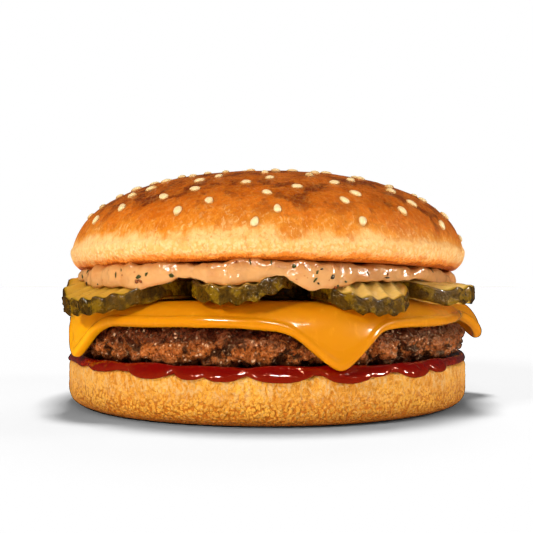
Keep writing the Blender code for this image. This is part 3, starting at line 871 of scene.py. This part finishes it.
def build_patty(filling):
    profile = patty_profile()
    turn = turns(PATTY_TURNS)
    show = ease(40.0, 48.0, profile[:, :1]) * np.ones(turn.shape)
    lean = PATTY_SHIFT * ease(PATTY_TOP - PATTY_SHOULDER + 2.0, PATTY_BOTTOM + 2.0, profile[:, 1])
    rings = polar(profile[:, :1], turn, profile[:, 1:])
    depth = np.array([crag(Vector(point)) for point in rings.reshape(-1, 3)]).reshape(show.shape)
    rings = polar(profile[:, :1] - depth * show, turn, profile[:, 1:])
    rings[..., 0] += lean[:, None]
    piece = make_body("patty_mince", rings, {"show": show})
    lumps = (filling.lump_size, filling.lump_depth, filling.clump_size, filling.clump_depth)
    settle(mince_form().run(piece, meat_finish(filling), *lumps, filling.grain_depth), "meat", "patty")


# Cheese


def cheese_reach(turn):
    """Distance along the slice from its middle to its edge, with four blunt corners."""
    reach = CHEESE_SIDE + 0.5 * np.sin(3.0 * turn + 0.3) + 0.3 * np.sin(8.0 * turn)
    for corner, tip, _ in CHEESE_CORNERS:
        off = apart(turn, corner) * CHEESE_SIDE
        point = tip + 0.6 * CORNER_BLUNT - np.hypot(off, CORNER_BLUNT)
        reach = 0.5 * (reach + point + np.hypot(reach - point, CORNER_JOIN))
    return reach


def cheese_flare(turn):
    swing = np.zeros(turn.shape)
    for corner, _, flare in CHEESE_CORNERS:
        swing += flare * ease(CORNER_SPREAD, 0.0, np.abs(apart(turn, corner)))
    return swing


def cheese_points(turn, along, inset):
    """Points of the draped slice, along it from the middle and inset below its top face."""
    bend = np.clip((along - CHEESE_FLAT) / CHEESE_BEND, 0.0, CHEESE_LEAN)
    straight = np.maximum(along - CHEESE_FLAT - CHEESE_BEND * CHEESE_LEAN, 0.0)
    flat = np.minimum(along, CHEESE_FLAT)
    radius = flat + (CHEESE_BEND - inset) * np.sin(bend) + straight * np.cos(bend)
    height = CHEESE_TOP - CHEESE_BEND + (CHEESE_BEND - inset) * np.cos(bend)
    height = height - straight * np.sin(bend)
    return polar(radius + cheese_flare(turn) * ease(*FLARE_RUN, along), turn, height)


def cheese_finish(filling):
    """Melted cheese: even, softly glossy, with painted shade under the pickles and painted light on its left
    side.
    """
    cheese = Finish("cheddar", {
        "Subsurface Weight": 0.15, "Subsurface Radius": (1.0, 0.4, 0.05), "Subsurface Scale": 0.0015,
        "Specular IOR Level": 0.12, "Coat Roughness": 0.12,
    })
    cloud = cheese.grain(9.0, 2.0)
    streak = cheese.grain(1.6, 2.0, place=cheese.stretched(1.0, 1.0, 0.25))
    run = cheese.attribute("run")
    # Painted shade on the flat part of the slice, under the pickles
    deep = 1.0 - (run + cloud.about(0.8)).step(0.0, 0.7)
    side = cheese.part(cheese.place, "X")
    # Painted light: the left side of the slice is brighter and yellower
    sunny = 1.0 - (side + cloud.about(9.0)).step(-50.0, -34.0)
    colour = cheese.layers(
        filling.cheese,
        (deep * 0.6, filling.cheese_deep),
        (streak.step(0.55, 0.8) * 0.25, (0.98, 0.45, 0.03)),
        (sunny * 0.7, (1.0, 0.42, 0.002)),
    )
    fine = cheese.grain(0.5, 2.0)
    relief = 0.35 * fine + 0.5 * streak
    lip = (run + cloud.about(0.2)).step(0.72, 0.9)
    rough = 0.4 - 0.2 * lip
    wet = 0.06 + 0.5 * lip + 0.5 * side.step(30.0, 42.0) * streak.step(0.45, 0.6)
    cheese.bump(relief, 0.06)
    return cheese.paint(colour, rough, wet)


def build_cheese(filling):
    turn = turns(CHEESE_TURNS)
    reach = cheese_reach(turn)
    flat = np.linspace(0.05, 0.92, 9)[:, None] * CHEESE_FLAT * np.ones(turn.shape)
    slope = CHEESE_FLAT + np.linspace(0.0, 1.0, 34)[:, None] * (reach - CHEESE_FLAT)
    bend = np.linspace(0.0, math.pi, 11)[1:-1, None]
    lip = reach + CHEESE_LIP * np.sin(bend)
    along = np.concatenate([flat, slope, lip, slope[::-1], flat[::-1]])
    inset = np.concatenate([
        np.full(len(flat) + len(slope), CHEESE_THICKNESS),
        0.5 * CHEESE_THICKNESS * (1.0 + np.cos(bend[:, 0])),
        np.zeros(len(flat) + len(slope)),
    ])[:, None]
    bead = CHEESE_BEAD * ease(-2.2, -1.0, along - reach) * ease(0.4, -0.8, along - reach)
    sign = np.where(inset < 0.5 * CHEESE_THICKNESS, -1.0, 0.0)
    rings = cheese_points(turn, along, inset + bead * sign)
    run = (along - CHEESE_FLAT) / (reach - CHEESE_FLAT)
    piece = make_body("cheese_slice", rings, {"run": run, "show": ease(30.0, 46.0, along)})
    settle(swell_form().run(piece, cheese_finish(filling), *CHEESE_SWELL), "cheddar", "cheese")


# Pickles


def pickle_height(slice_row, x, y):
    """Height of the underside of a pickle slice, before its ridges."""
    turn, _, radius, sag_left, sag_right, lift_left, lift_right, _ = slice_row
    turn = math.radians(turn)
    side = (x * math.cos(turn) + y * math.sin(turn)) / radius
    sag = sag_left + (sag_right - sag_left) * ease(-1.0, -0.1, side)
    lift = lift_left * ease(0.0, 1.0, -side) + lift_right * ease(0.0, 1.0, side)
    return PICKLE_REST + lift - sag * np.maximum(np.hypot(x, y) - PICKLE_FOLD, 0.0)


def ridge_axes(slice_row):
    """Directions along and across the ridges of a slice."""
    turn = math.radians(slice_row[0] + slice_row[7])
    along = np.array([math.sin(turn), -math.cos(turn)])
    return along, np.array([-along[1], along[0]])


def slice_middle(slice_row):
    return polar(slice_row[1], math.radians(slice_row[0]), 0.0)[:2]


def ridge_phase(index, slice_row, x, y):
    """Where a place lies in the wave of a slice's ridges."""
    middle = slice_middle(slice_row)
    across = ridge_axes(slice_row)[1]
    offset = (x - middle[0]) * across[0] + (y - middle[1]) * across[1]
    return TAU * offset / RIDGE_WAVE + index


def pickle_finish(filling):
    """Wet pickle: warty olive skin, a yellow rim under it and translucent ridged flesh with painted shade in
    the troughs of its ridges.
    """
    pickle = Finish("pickle", {
        "Subsurface Weight": 0.2, "Subsurface Radius": (1.0, 0.8, 0.2), "Subsurface Scale": 0.002,
        "Coat Roughness": 0.05, "Specular IOR Level": 0.3,
    })
    skin = pickle.attribute("skin")
    crest = pickle.attribute("crest")
    wart = pickle.attribute("wart")
    cloud = pickle.grain(3.2, 3.0)
    fine = pickle.grain(0.6, 3.0)
    patch = pickle.grain(2.4, 4.0, 0.65, place=pickle.stretched(1.0, 1.0, 0.6))
    rind = (pickle.attribute("edge") + cloud.about(0.5)).step(0.3, 1.0)
    flesh = pickle.layers(
        filling.flesh,
        (pickle.attribute("pale"), filling.flesh_pale),
        # Painted shade in the troughs of the flesh's ridges
        (0.2 * (1.0 - crest), (0.34, 0.17, 0.008)),
        (cloud.step(0.42, 0.62) * 0.3, (0.62, 0.36, 0.05)),
        (rind, (0.40, 0.24, 0.012)),
    )
    coat = pickle.layers(
        filling.skin,
        (patch.step(0.4, 0.66) * 0.85, filling.skin_dark),
        (cloud.step(0.5, 0.6) * 0.75, (0.24, 0.122, 0.002)),
        (fine.step(0.48, 0.38) * 0.5, filling.skin_dark),
        (wart * 0.95, (0.010, 0.006, 0.0005)),
    )
    colour = pickle.layers(flesh, (skin.step(0.3, 0.7), coat))
    rough = 0.1 + 0.16 * fine
    relief = (0.5 * cloud + 0.6 * fine) * (0.2 + 0.8 * skin)
    wet = 0.1 + 0.9 * skin * patch.step(0.4, 0.5)
    pickle.bump(relief, 1.0)
    return pickle.paint(colour, rough, wet)


def build_pickle(index, slice_row, form, filling, finish):
    radius = slice_row[2]
    middle = slice_middle(slice_row)
    along, across = ridge_axes(slice_row)
    turn = turns(PICKLE_TURNS)
    bend = np.radians(np.linspace(0.0, 90.0, 5))
    hub = radius - PICKLE_EDGE
    face = np.linspace(0.03, 1.0, 28) * hub
    wall = np.linspace(PICKLE_EDGE, PICKLE_THICKNESS - PICKLE_EDGE, 10)[1:-1]
    reach = np.concatenate([
        face, hub + PICKLE_EDGE * np.sin(bend[1:]), radius + 0.0 * wall,
        hub + PICKLE_EDGE * np.cos(bend[:-1]), face[::-1],
    ])
    lift = np.concatenate([
        0.0 * face, PICKLE_EDGE * (1.0 - np.cos(bend[1:])), wall,
        PICKLE_THICKNESS - PICKLE_EDGE + PICKLE_EDGE * np.sin(bend[:-1]), PICKLE_THICKNESS + 0.0 * face,
    ])
    skin = ease(radius - 0.5, radius - 0.1, reach)
    edge = ease(radius - 1.5, radius - 0.3, reach)
    reach, lift = reach[:, None], lift[:, None]
    away = [np.cos(turn) * one + np.sin(turn) * other for one, other in zip(along, across)]
    x, y = (start + reach * share for start, share in zip(middle, away))
    phase = ridge_phase(index, slice_row, x, y)
    swell = 1.0 + (0.016 * np.sin(phase) - 0.012) * ease(radius - 2.5, radius - 0.3, reach)
    x = middle[0] + (x - middle[0]) * swell
    y = middle[1] + (y - middle[1]) * swell
    height = pickle_height(slice_row, x, y) + RIDGE * np.sin(phase) + lift
    crest = 0.5 + 0.5 * np.sin(phase) * np.where(lift > 0.5 * PICKLE_THICKNESS, 1.0, -1.0)
    shades = {"skin": skin[:, None], "edge": edge[:, None], "crest": crest}
    shades["pale"] = np.full((1, 1), PICKLE_PALENESS[index])
    piece = make_body(f"pickle_slice_{index + 1}", np.stack([x, y, height], axis=-1), shades)
    form.run(piece, finish, filling.wart_size, filling.wart_height)
    settle(piece, "pickle", f"pickle_{index + 1}")


def build_pickles(filling):
    form = wart_form()
    finish = pickle_finish(filling)
    for index, slice_row in enumerate(PICKLES):
        build_pickle(index, slice_row, form, filling, finish)


# Cream sauce


def droop(x, height):
    """How far the crown's heel sinks at its two sides, fading out up the dome."""
    fade = np.clip(1.0 - (height - CROWN_CUT) / DROOP_FADE, 0.0, 1.0)
    return CROWN_DROOP * (x / CROWN_RADIUS) ** 2 * fade


def pickle_roof(x, y, margin):
    """Height of the ridged tops of the slices at a place, or nothing where there is none."""
    roof = np.zeros(np.shape(x))
    for index, slice_row in enumerate(PICKLES):
        middle = slice_middle(slice_row)
        off = np.hypot(x - middle[0], y - middle[1]) - slice_row[2]
        top = pickle_height(slice_row, x, y) + PICKLE_THICKNESS + 0.05
        top = top + RIDGE * np.sin(ridge_phase(index, slice_row, x, y))
        roof = np.maximum(roof, np.where(off < margin, top - 1.2 * np.maximum(off, 0.0), 0.0))
    return roof


def cream_edge(turn):
    """Height of the lower edge of the cream sauce where nothing lies under it."""
    edge = CREAM_EDGE + 0.3 * np.sin(4.0 * turn + 0.8)
    for lobe, width, height in CREAM_LOBES:
        off = np.abs(np.degrees(apart(turn, lobe))) / width
        edge = edge + (height - edge) * ease(1.15, 0.3, off)
    return edge


def cream_radius(turn):
    """Distance of the cream sauce's outline, eased between its listed turns."""
    degrees = (np.degrees(turn) + 90.0) % 360.0 - 90.0
    rows = CREAM_OUTLINE + ((CREAM_OUTLINE[0][0] + 360, CREAM_OUTLINE[0][1]),)
    found = np.zeros(turn.shape)
    for (start, low), (stop, high) in zip(rows, rows[1:]):
        inside = (degrees >= start) & (degrees <= stop)
        found = np.where(inside, low + (high - low) * ease(start, stop, degrees), found)
    return found


def soften(heights):
    """Heights round the sauce, averaged over a few degrees as thick sauce flows out."""
    window = np.hanning(CREAM_FLOW)
    window /= window.sum()
    half = CREAM_FLOW // 2
    for _ in range(2):
        heights = np.convolve(np.concatenate([heights[-half:], heights, heights[:half]]), window, "valid")
    return heights


def cream_hub(turn):
    """Radius of the middle of the sauce that rests on the cheese between the slices."""
    near = np.abs(np.degrees(apart(turn, PICKLES[INNER_SLICE][0])))
    return CREAM_HUB - HUB_NOTCH * ease(*NOTCH_TURN, near)


def cream_finish(filling):
    """Smooth burger sauce, deeper in its folds, with faint red flecks and a painted shadow under the crown's
    heel.
    """
    cream = Finish("cream", {
        "Subsurface Weight": 0.15, "Subsurface Radius": (1.0, 0.6, 0.3), "Subsurface Scale": 0.002,
        "Specular IOR Level": 0.7, "Specular Tint": (1.0, 0.95, 0.88),
    })
    cloud = cream.grain(5.0, 3.0)
    fleck = 1.0 - cream.pebbles(2.1, cream.wobble(0.8, 0.3)).step(0.07, 0.17)
    # Painted shadow: the top of the sauce, under the crown's heel, is darkened
    under = (cream.part(cream.place, "Z") + cloud.about(1.6)).step(34.0, 36.4)
    colour = cream.layers(
        filling.cream,
        (cloud.step(0.45, 0.75) * 0.5, filling.cream_deep),
        (fleck * 0.55, (0.45, 0.09, 0.02)),
        (under * 0.75, (0.40, 0.12, 0.02)),
    )
    relief = cream.grain(2.2, 2.0, 0.5, 0.8)
    rough = 0.16 + 0.14 * cloud
    cream.bump(relief, 0.28)
    return cream.paint(colour, rough)


def speck_finish():
    """Dark green herbs, black pepper and a few red flakes."""
    speck = Finish("specks", {"Roughness": 0.35, "Coat Weight": 0.3})
    kind = speck.attribute("kind")
    colour = speck.layers(
        (0.035, 0.045, 0.008),
        (kind.step(0.3, 0.5), (0.012, 0.010, 0.006)),
        (kind.step(0.78, 0.82), (0.25, 0.05, 0.01)),
    )
    fine = speck.grain(0.2, 2.0)
    speck.bump(fine, 0.08)
    return speck.paint(colour)


def cream_rings(turn):
    """Rings of the sauce from its hub on the cheese, out over the slices and back under the crown."""
    low = CHEESE_TOP + GAP
    hub = cream_hub(turn)
    edge = cream_edge(turn)
    outline = cream_radius(turn)
    rings = [polar(share * hub, turn, low) for share in np.linspace(0.05, 1.0, 7)]
    rings += [polar(hub + share, turn, low + share * (CREAM_SHELF - low)) for share in (0.3, 0.6, 1.0)]
    reach = outline - CREAM_ROUND
    for share in np.linspace(0.0, 1.0, 34)[1:]:
        radius = hub + 1.0 + (reach - hub - 1.0) * share
        free = CREAM_SHELF + (edge - CREAM_SHELF) * ease(*CREAM_FREE, radius)
        place = polar(radius, turn, 0.0)
        over = soften(np.maximum(free, pickle_roof(place[..., 0], place[..., 1], 1.0)))
        rings.append(polar(radius, turn, over))
    hem = rings[-1][..., 2]
    roof = polar(outline - 2.0 * CREAM_ROUND, turn, 0.0)
    roof[..., 2] = CREAM_TOP + CREAM_PRESS - droop(roof[..., 0], CROWN_CUT)
    for share in np.linspace(0.0, 1.0, 24)[1:-1]:
        bulge = np.sin(math.pi * share ** 0.8) ** 0.55
        radius = outline - CREAM_ROUND - CREAM_ROUND * share + (CREAM_ROUND + 0.4 * share) * bulge
        rings.append(polar(radius, turn, hem + (roof[..., 2] - hem) * ease(-0.15, 1.1, share)))
    for share in np.linspace(1.0, 0.05, 14):
        radius = (outline - 2.0 * CREAM_ROUND) * share
        rings.append(polar(radius, turn, CREAM_TOP + CREAM_PRESS - droop(radius * np.sin(turn), CROWN_CUT)))
    return np.stack(rings)


def build_cream_sauce(filling):
    turn = turns(CREAM_TURNS)
    rings = cream_rings(turn)
    levels = np.arange(len(rings))[:, None]
    outer = np.where((levels > SPECK_RINGS[0]) & (levels < SPECK_RINGS[1]), 1.0, 0.0)
    show = ease(24.0, 42.0, np.hypot(rings[..., 0], rings[..., 1]))
    piece = make_body("cream_spread", rings, {"outer": outer, "show": show})
    swell_form().run(piece, cream_finish(filling), *CREAM_SWELL)
    specks = add_object("sauce_specks", piece.data.copy())
    speck_form().run(specks, speck_finish(), filling.speck_size, SPECK_DENSITY, SPECK_SEED)
    settle(piece, "cream", "cream_sauce")
    settle(specks, "cream")


# Crown


def dome_height(radius):
    """Height of the crown's crust over a distance from its middle line."""
    bend = math.acos(min(radius / CROWN_RADIUS, 1.0) ** (1.0 / DOME_POWER[0]))
    return CROWN_WAIST + (CROWN_PEAK - CROWN_WAIST) * math.sin(bend) ** DOME_POWER[1]


def crown_scale(turn):
    return 1.0 + 0.003 * np.sin(2.0 * turn + 0.6) + 0.002 * np.sin(5.0 * turn + 1.9)


def crust_finish(bread):
    """Baked crust: mottled deep brown on top, golden below, pale and pitted at the toasted heel, with
    painted shade on its right side, in the heel's pits and round the seeds, and painted light on its left
    side and on the heel's pebble tops.
    """
    crust = Finish("crust", {"Specular IOR Level": 0.25, "Specular Tint": (1.0, 0.56, 0.1)})
    rise = crust.attribute("rise")
    broad = crust.grain(17.0, 2.0)
    blotch = crust.grain(5.0, 4.0, 0.6)
    side = crust.part(crust.place, "X")
    # The square term carries the brown lower on both sides; the straight term is painted shade on the right
    # side and painted light on the left
    brown = rise.step(3.0, 10.0) * (0.0017 * side * side + 0.03 * side)
    height = rise + broad.about(8.0) + blotch.about(9.0) + brown
    deep = height.step(11.5, 16.5)
    amber = height.step(5.6, 12.6)
    gold = height.step(3.6, 8.4)
    fine = crust.grain(0.8, 3.0, 0.6)
    vein = 1.0 - abs(2.0 * crust.grain(2.4, 3.0, place=crust.wobble(3.0, 1.2)) - 1.0)
    mottle = crust.grain(5.5, 4.0, 0.58, place=crust.wobble(5.0, 2.2))
    pore = crust.pebbles(0.95, crust.wobble(1.2, 0.7))
    streak = crust.grain(0.8, 3.0, 0.7, 0.6, place=crust.stretched(1.0, 1.0, 0.4))
    heel = 1.0 - (rise + blotch.about(3.0)).step(2.0, 6.5)
    low = 1.0 - (rise + pore.about(1.8) + blotch.about(2.6)).step(1.0, 2.2)
    toast = 1.0 - (rise + fine.about(1.6) + blotch.about(1.8)).step(0.35, 0.9)
    colour = crust.layers(
        bread.pale,
        (gold, bread.golden),
        (amber * 0.92, bread.amber),
        (deep, bread.crust),
        (mottle.step(0.49, 0.6) * (0.4 * amber + 0.5 * deep), (0.16, 0.021, 0.002)),
        (mottle.step(0.46, 0.36) * deep * 0.6, bread.amber),
        (mottle.step(0.5, 0.4) * gold * (1.0 - deep) * 0.5, (0.44, 0.080, 0.002)),
        (vein.step(0.88, 1.0) * gold * 0.18, (0.85, 0.32, 0.035)),
        (streak.step(0.52, 0.66) * (1.0 - 0.85 * amber) * 0.6, bread.pale),
        (streak.step(0.47, 0.34) * (1.0 - deep) * 0.45, bread.amber),
        # Heel pits darker and pebble tops paler: partly crumb tone, partly painted shade in the pits and
        # painted highlights on the tops
        ((pore + fine.about(0.9)).step(0.4, 0.66) * heel * 0.65, (0.82, 0.33, 0.05)),
        ((pore + fine.about(0.3)).step(0.3, 0.1) * heel * 0.5, (1.0, 0.72, 0.36)),
        # Painted shade on the crust round each seed
        (crust.attribute("halo") * 0.5, (0.42, 0.12, 0.012)),
        (low * 0.9, (0.78, 0.19, 0.008)),
        (toast, bread.toast),
    )
    relief = 0.25 * fine + 0.5 * streak + 0.4 * vein * (1.0 - heel) + 1.2 * (1.0 - pore) * heel
    rough = 0.5 - 0.2 * deep + fine.about(0.3)
    crust.bump(relief, 0.34)
    return crust.paint(colour, rough)


def seed_finish(bread):
    """Pale sesame seeds with a tan pointed end, and painted shade at their foot where they meet the crust.
    """
    seed = Finish("seeds", {"Coat Weight": 0.2, "Coat Roughness": 0.2, "Subsurface Weight": 0.1})
    cloud = seed.grain(5.0, 2.0)
    tip = (seed.attribute("end") + cloud.about(0.8)).step(0.35, 1.1)
    # Painted shade: the seed's low side, where it meets the crust, is darkened
    skirt = 1.0 - (seed.attribute("up") + cloud.about(0.3)).step(0.15, 0.6)
    colour = seed.layers(
        bread.seed,
        (tip, bread.seed_end),
        (skirt * 0.75, bread.seed_end),
        (cloud.step(0.55, 0.8) * 0.5, bread.seed_end),
    )
    fine = seed.grain(0.3, 2.0)
    rough = 0.4 + 0.15 * fine
    seed.bump(fine, 0.05)
    return seed.paint(colour, rough)


def crown_profile():
    heel = [(radius, CROWN_CUT + rise) for radius, rise in CROWN_HEEL]
    bend = np.radians(np.linspace(9.5, 89.6, 200))
    dome = np.column_stack([
        CROWN_RADIUS * np.cos(bend) ** DOME_POWER[0],
        CROWN_WAIST + (CROWN_PEAK - CROWN_WAIST) * np.sin(bend) ** DOME_POWER[1],
    ])
    start = spline(heel + [tuple(dome[0])])
    cut = level(0.0, CROWN_HEEL[0][0], 12, CROWN_CUT)[:-1]
    return np.vstack([cut, even(np.vstack([start, dome]), CROWN_PITCH)])


def build_crown(bread):
    profile = crown_profile()
    turn = turns(CROWN_TURNS)
    rings = polar(profile[:, :1] * crown_scale(turn), turn, profile[:, 1:])
    rings[..., 2] -= droop(rings[..., 0], profile[:, 1:])
    rise = profile[:, 1:] - CROWN_CUT
    show = ease(0.0, 2.0, rise)
    nearest = np.full(rings.shape[:2], 99.0)
    for index in range(SEED_COUNT):
        seed = np.array(seed_frame(index).translation)
        nearest = np.minimum(nearest, np.linalg.norm(rings - seed, axis=-1))
    # Painted shade round the seeds, strongest next to a seed and gone beyond the shade reach
    halo = ease(*SEED_HALO, nearest)
    piece = make_body("crown_crust", rings, {"rise": rise, "show": show, "halo": halo})
    swell = (bread.wrinkle_size, bread.wrinkle_depth, *CROWN_GRAIN)
    settle(swell_form().run(piece, crust_finish(bread), *swell), "crust", "crown")


def seed_frame(index):
    """Place and turn of one sesame seed lying on the crust."""
    share = (index + 0.5) / SEED_COUNT
    radius = SEED_SPREAD * share**SEED_CROWDING + SEED_SHIFT * math.sin(2.4 * index)
    turn = index * GOLDEN_TURN + SEED_SWAY * math.sin(1.7 * index)
    radius = min(abs(radius), SEED_SPREAD)
    step = 0.05
    slope = (dome_height(radius + step) - dome_height(radius - step)) / (2.0 * step)
    place = Vector(polar(radius * float(crown_scale(turn)), turn, dome_height(radius)))
    place.z -= float(droop(place.x, dome_height(radius)))
    up = Vector(polar(-slope, turn, 1.0)).normalized()
    spin = Matrix.Rotation(1.9 * index, 4, "Z")
    return Matrix.Translation(place) @ up.to_track_quat("Z", "Y").to_matrix().to_4x4() @ spin


def build_seeds(bread):
    frames = [seed_frame(index) for index in range(SEED_COUNT)]
    mesh = bpy.data.meshes.new("sesame_seeds")
    mesh.from_pydata([found.translation * MM for found in frames], [], [])
    angles = [angle for found in frames for angle in found.to_euler()]
    growth = [1.0 + 0.1 * math.sin(3.3 * index) for index in range(SEED_COUNT)]
    mesh.attributes.new("angles", "FLOAT_VECTOR", "POINT").data.foreach_set("vector", angles)
    mesh.attributes.new("growth", "FLOAT", "POINT").data.foreach_set("value", growth)
    piece = add_object("sesame_seeds", mesh)
    size = (bread.seed_length, bread.seed_width, bread.seed_depth)
    settle(seed_form().run(piece, seed_finish(bread), *size), "crust", "crown")


# Stage


def build_floor(settings):
    mesh = bpy.data.meshes.new("floor")
    side = 0.5 * FLOOR_SIDE
    corners = [(-side, -side, 0.0), (side, -side, 0.0), (side, side, 0.0), (-side, side, 0.0)]
    mesh.from_pydata(corners, [], [(0, 1, 2, 3)])
    floor = add_object("floor", mesh)
    plain = Finish("floor", {"Roughness": 0.9, "Specular IOR Level": 0.1})
    floor.data.materials.append(plain.paint(settings.floor))
    floor.is_shadow_catcher = True
    floor.visible_glossy = False
    return floor


def add_lamp(name, place, size, watts, glint=False):
    """Area lamp that faces the middle of the burger."""
    lamp = bpy.data.lights.new(name, "AREA")
    lamp.shape = "RECTANGLE"
    lamp.size, lamp.size_y = size
    lamp.energy = watts
    holder = add_object(name, lamp)
    holder.location = place
    holder.rotation_euler = (LAMP_AIM - Vector(place)).to_track_quat("-Z", "Y").to_euler()
    holder.visible_glossy = glint
    holder.visible_diffuse = not glint
    return holder


def build_surround(settings):
    """White surround that lights the burger more softly than it shows."""
    world = bpy.data.worlds.new("surround")
    world.use_nodes = True
    graph = Graph(world.node_tree)
    seen = graph.node("ShaderNodeLightPath", output="Is Camera Ray")
    shine = graph.output(seen, "Is Glossy Ray")
    strength = settings.ambient * (1.0 - 0.7 * shine) + seen * (1.0 - settings.ambient)
    surround = graph.tree.nodes["Background"]
    graph.feed(surround.inputs["Color"], (1.0, 1.0, 1.0))
    graph.feed(surround.inputs["Strength"], strength)
    return world


def build_stage(settings):
    shaded = bpy.data.collections.new("shaded")
    shaded.objects.link(build_floor(settings))
    for name, place, size in LAMPS:
        lamp = add_lamp(f"{name}_lamp", place, size, getattr(settings, name))
        if name == "shade":
            lamp.light_linking.receiver_collection = shaded
    for name, place, size in GLINTS:
        add_lamp(f"{name}_glint", place, size, settings.glint, True)
    scene = bpy.context.scene
    scene.world = build_surround(settings)
    scene.view_settings.view_transform = "Standard"
    camera = add_object("camera", bpy.data.cameras.new("camera"))
    camera.location = CAMERA_PLACE
    camera.rotation_euler = (CAMERA_PITCH, 0.0, 0.0)
    camera.data.lens = CAMERA_LENS
    camera.data.sensor_width = SENSOR_WIDTH
    camera.data.clip_start = 0.01
    scene.camera = camera


class BURGER_OT_lower_bun(bpy.types.Operator):
    """Make the lower bun"""

    bl_idname = "burger.lower_bun"
    bl_label = "Lower bun"

    def execute(self, context):
        build_lower_bun(context.scene.burger_bread)
        return {"FINISHED"}


class BURGER_OT_tomato_sauce(bpy.types.Operator):
    """Make the tomato sauce over the edge of the lower bun"""

    bl_idname = "burger.tomato_sauce"
    bl_label = "Tomato sauce"

    def execute(self, context):
        build_tomato_sauce(context.scene.burger_filling)
        return {"FINISHED"}


class BURGER_OT_patty(bpy.types.Operator):
    """Make the patty of fried mince"""

    bl_idname = "burger.patty"
    bl_label = "Patty"

    def execute(self, context):
        build_patty(context.scene.burger_filling)
        return {"FINISHED"}


class BURGER_OT_cheese(bpy.types.Operator):
    """Make the melted cheese slice"""

    bl_idname = "burger.cheese"
    bl_label = "Cheese"

    def execute(self, context):
        build_cheese(context.scene.burger_filling)
        return {"FINISHED"}


class BURGER_OT_pickles(bpy.types.Operator):
    """Make the nine crinkle cut pickle slices"""

    bl_idname = "burger.pickles"
    bl_label = "Pickles"

    def execute(self, context):
        build_pickles(context.scene.burger_filling)
        return {"FINISHED"}


class BURGER_OT_cream_sauce(bpy.types.Operator):
    """Make the cream sauce and its specks"""

    bl_idname = "burger.cream_sauce"
    bl_label = "Cream sauce"

    def execute(self, context):
        build_cream_sauce(context.scene.burger_filling)
        return {"FINISHED"}


class BURGER_OT_crown(bpy.types.Operator):
    """Make the crown of the bun and its sesame seeds"""

    bl_idname = "burger.crown"
    bl_label = "Crown"

    def execute(self, context):
        build_crown(context.scene.burger_bread)
        build_seeds(context.scene.burger_bread)
        return {"FINISHED"}


class BURGER_OT_stage(bpy.types.Operator):
    """Make the floor, the lamps and the camera"""

    bl_idname = "burger.stage"
    bl_label = "Stage"

    def execute(self, context):
        build_stage(context.scene.burger_stage)
        return {"FINISHED"}


OPERATORS = (
    BURGER_OT_lower_bun,
    BURGER_OT_tomato_sauce,
    BURGER_OT_patty,
    BURGER_OT_cheese,
    BURGER_OT_pickles,
    BURGER_OT_cream_sauce,
    BURGER_OT_crown,
    BURGER_OT_stage,
)


class BURGER_PT_panel(bpy.types.Panel):
    """Lists the burger's settings and the pieces to make"""

    bl_label = "Burger"
    bl_idname = "BURGER_PT_panel"
    bl_space_type = "VIEW_3D"
    bl_region_type = "UI"
    bl_category = "Burger"

    def draw(self, context):
        for settings in SETTINGS:
            group = getattr(context.scene, settings)
            for name in group.bl_rna.properties.keys():
                if name not in ("rna_type", "name"):
                    self.layout.prop(group, name)
        for operator in OPERATORS:
            self.layout.operator(operator.bl_idname)


SETTINGS = {
    "burger_bread": BreadSettings,
    "burger_filling": FillingSettings,
    "burger_stage": StageSettings,
}


def register():
    for found in (*SETTINGS.values(), *OPERATORS, BURGER_PT_panel):
        bpy.utils.register_class(found)
    for name, group in SETTINGS.items():
        setattr(bpy.types.Scene, name, bpy.props.PointerProperty(type=group))


def unregister():
    for name in SETTINGS:
        delattr(bpy.types.Scene, name)
    for found in reversed((*SETTINGS.values(), *OPERATORS, BURGER_PT_panel)):
        bpy.utils.unregister_class(found)


def main():
    register()
    for operator in OPERATORS:
        group, name = operator.bl_idname.split(".")
        getattr(getattr(bpy.ops, group), name)()


if __name__ == "__main__":
    main()
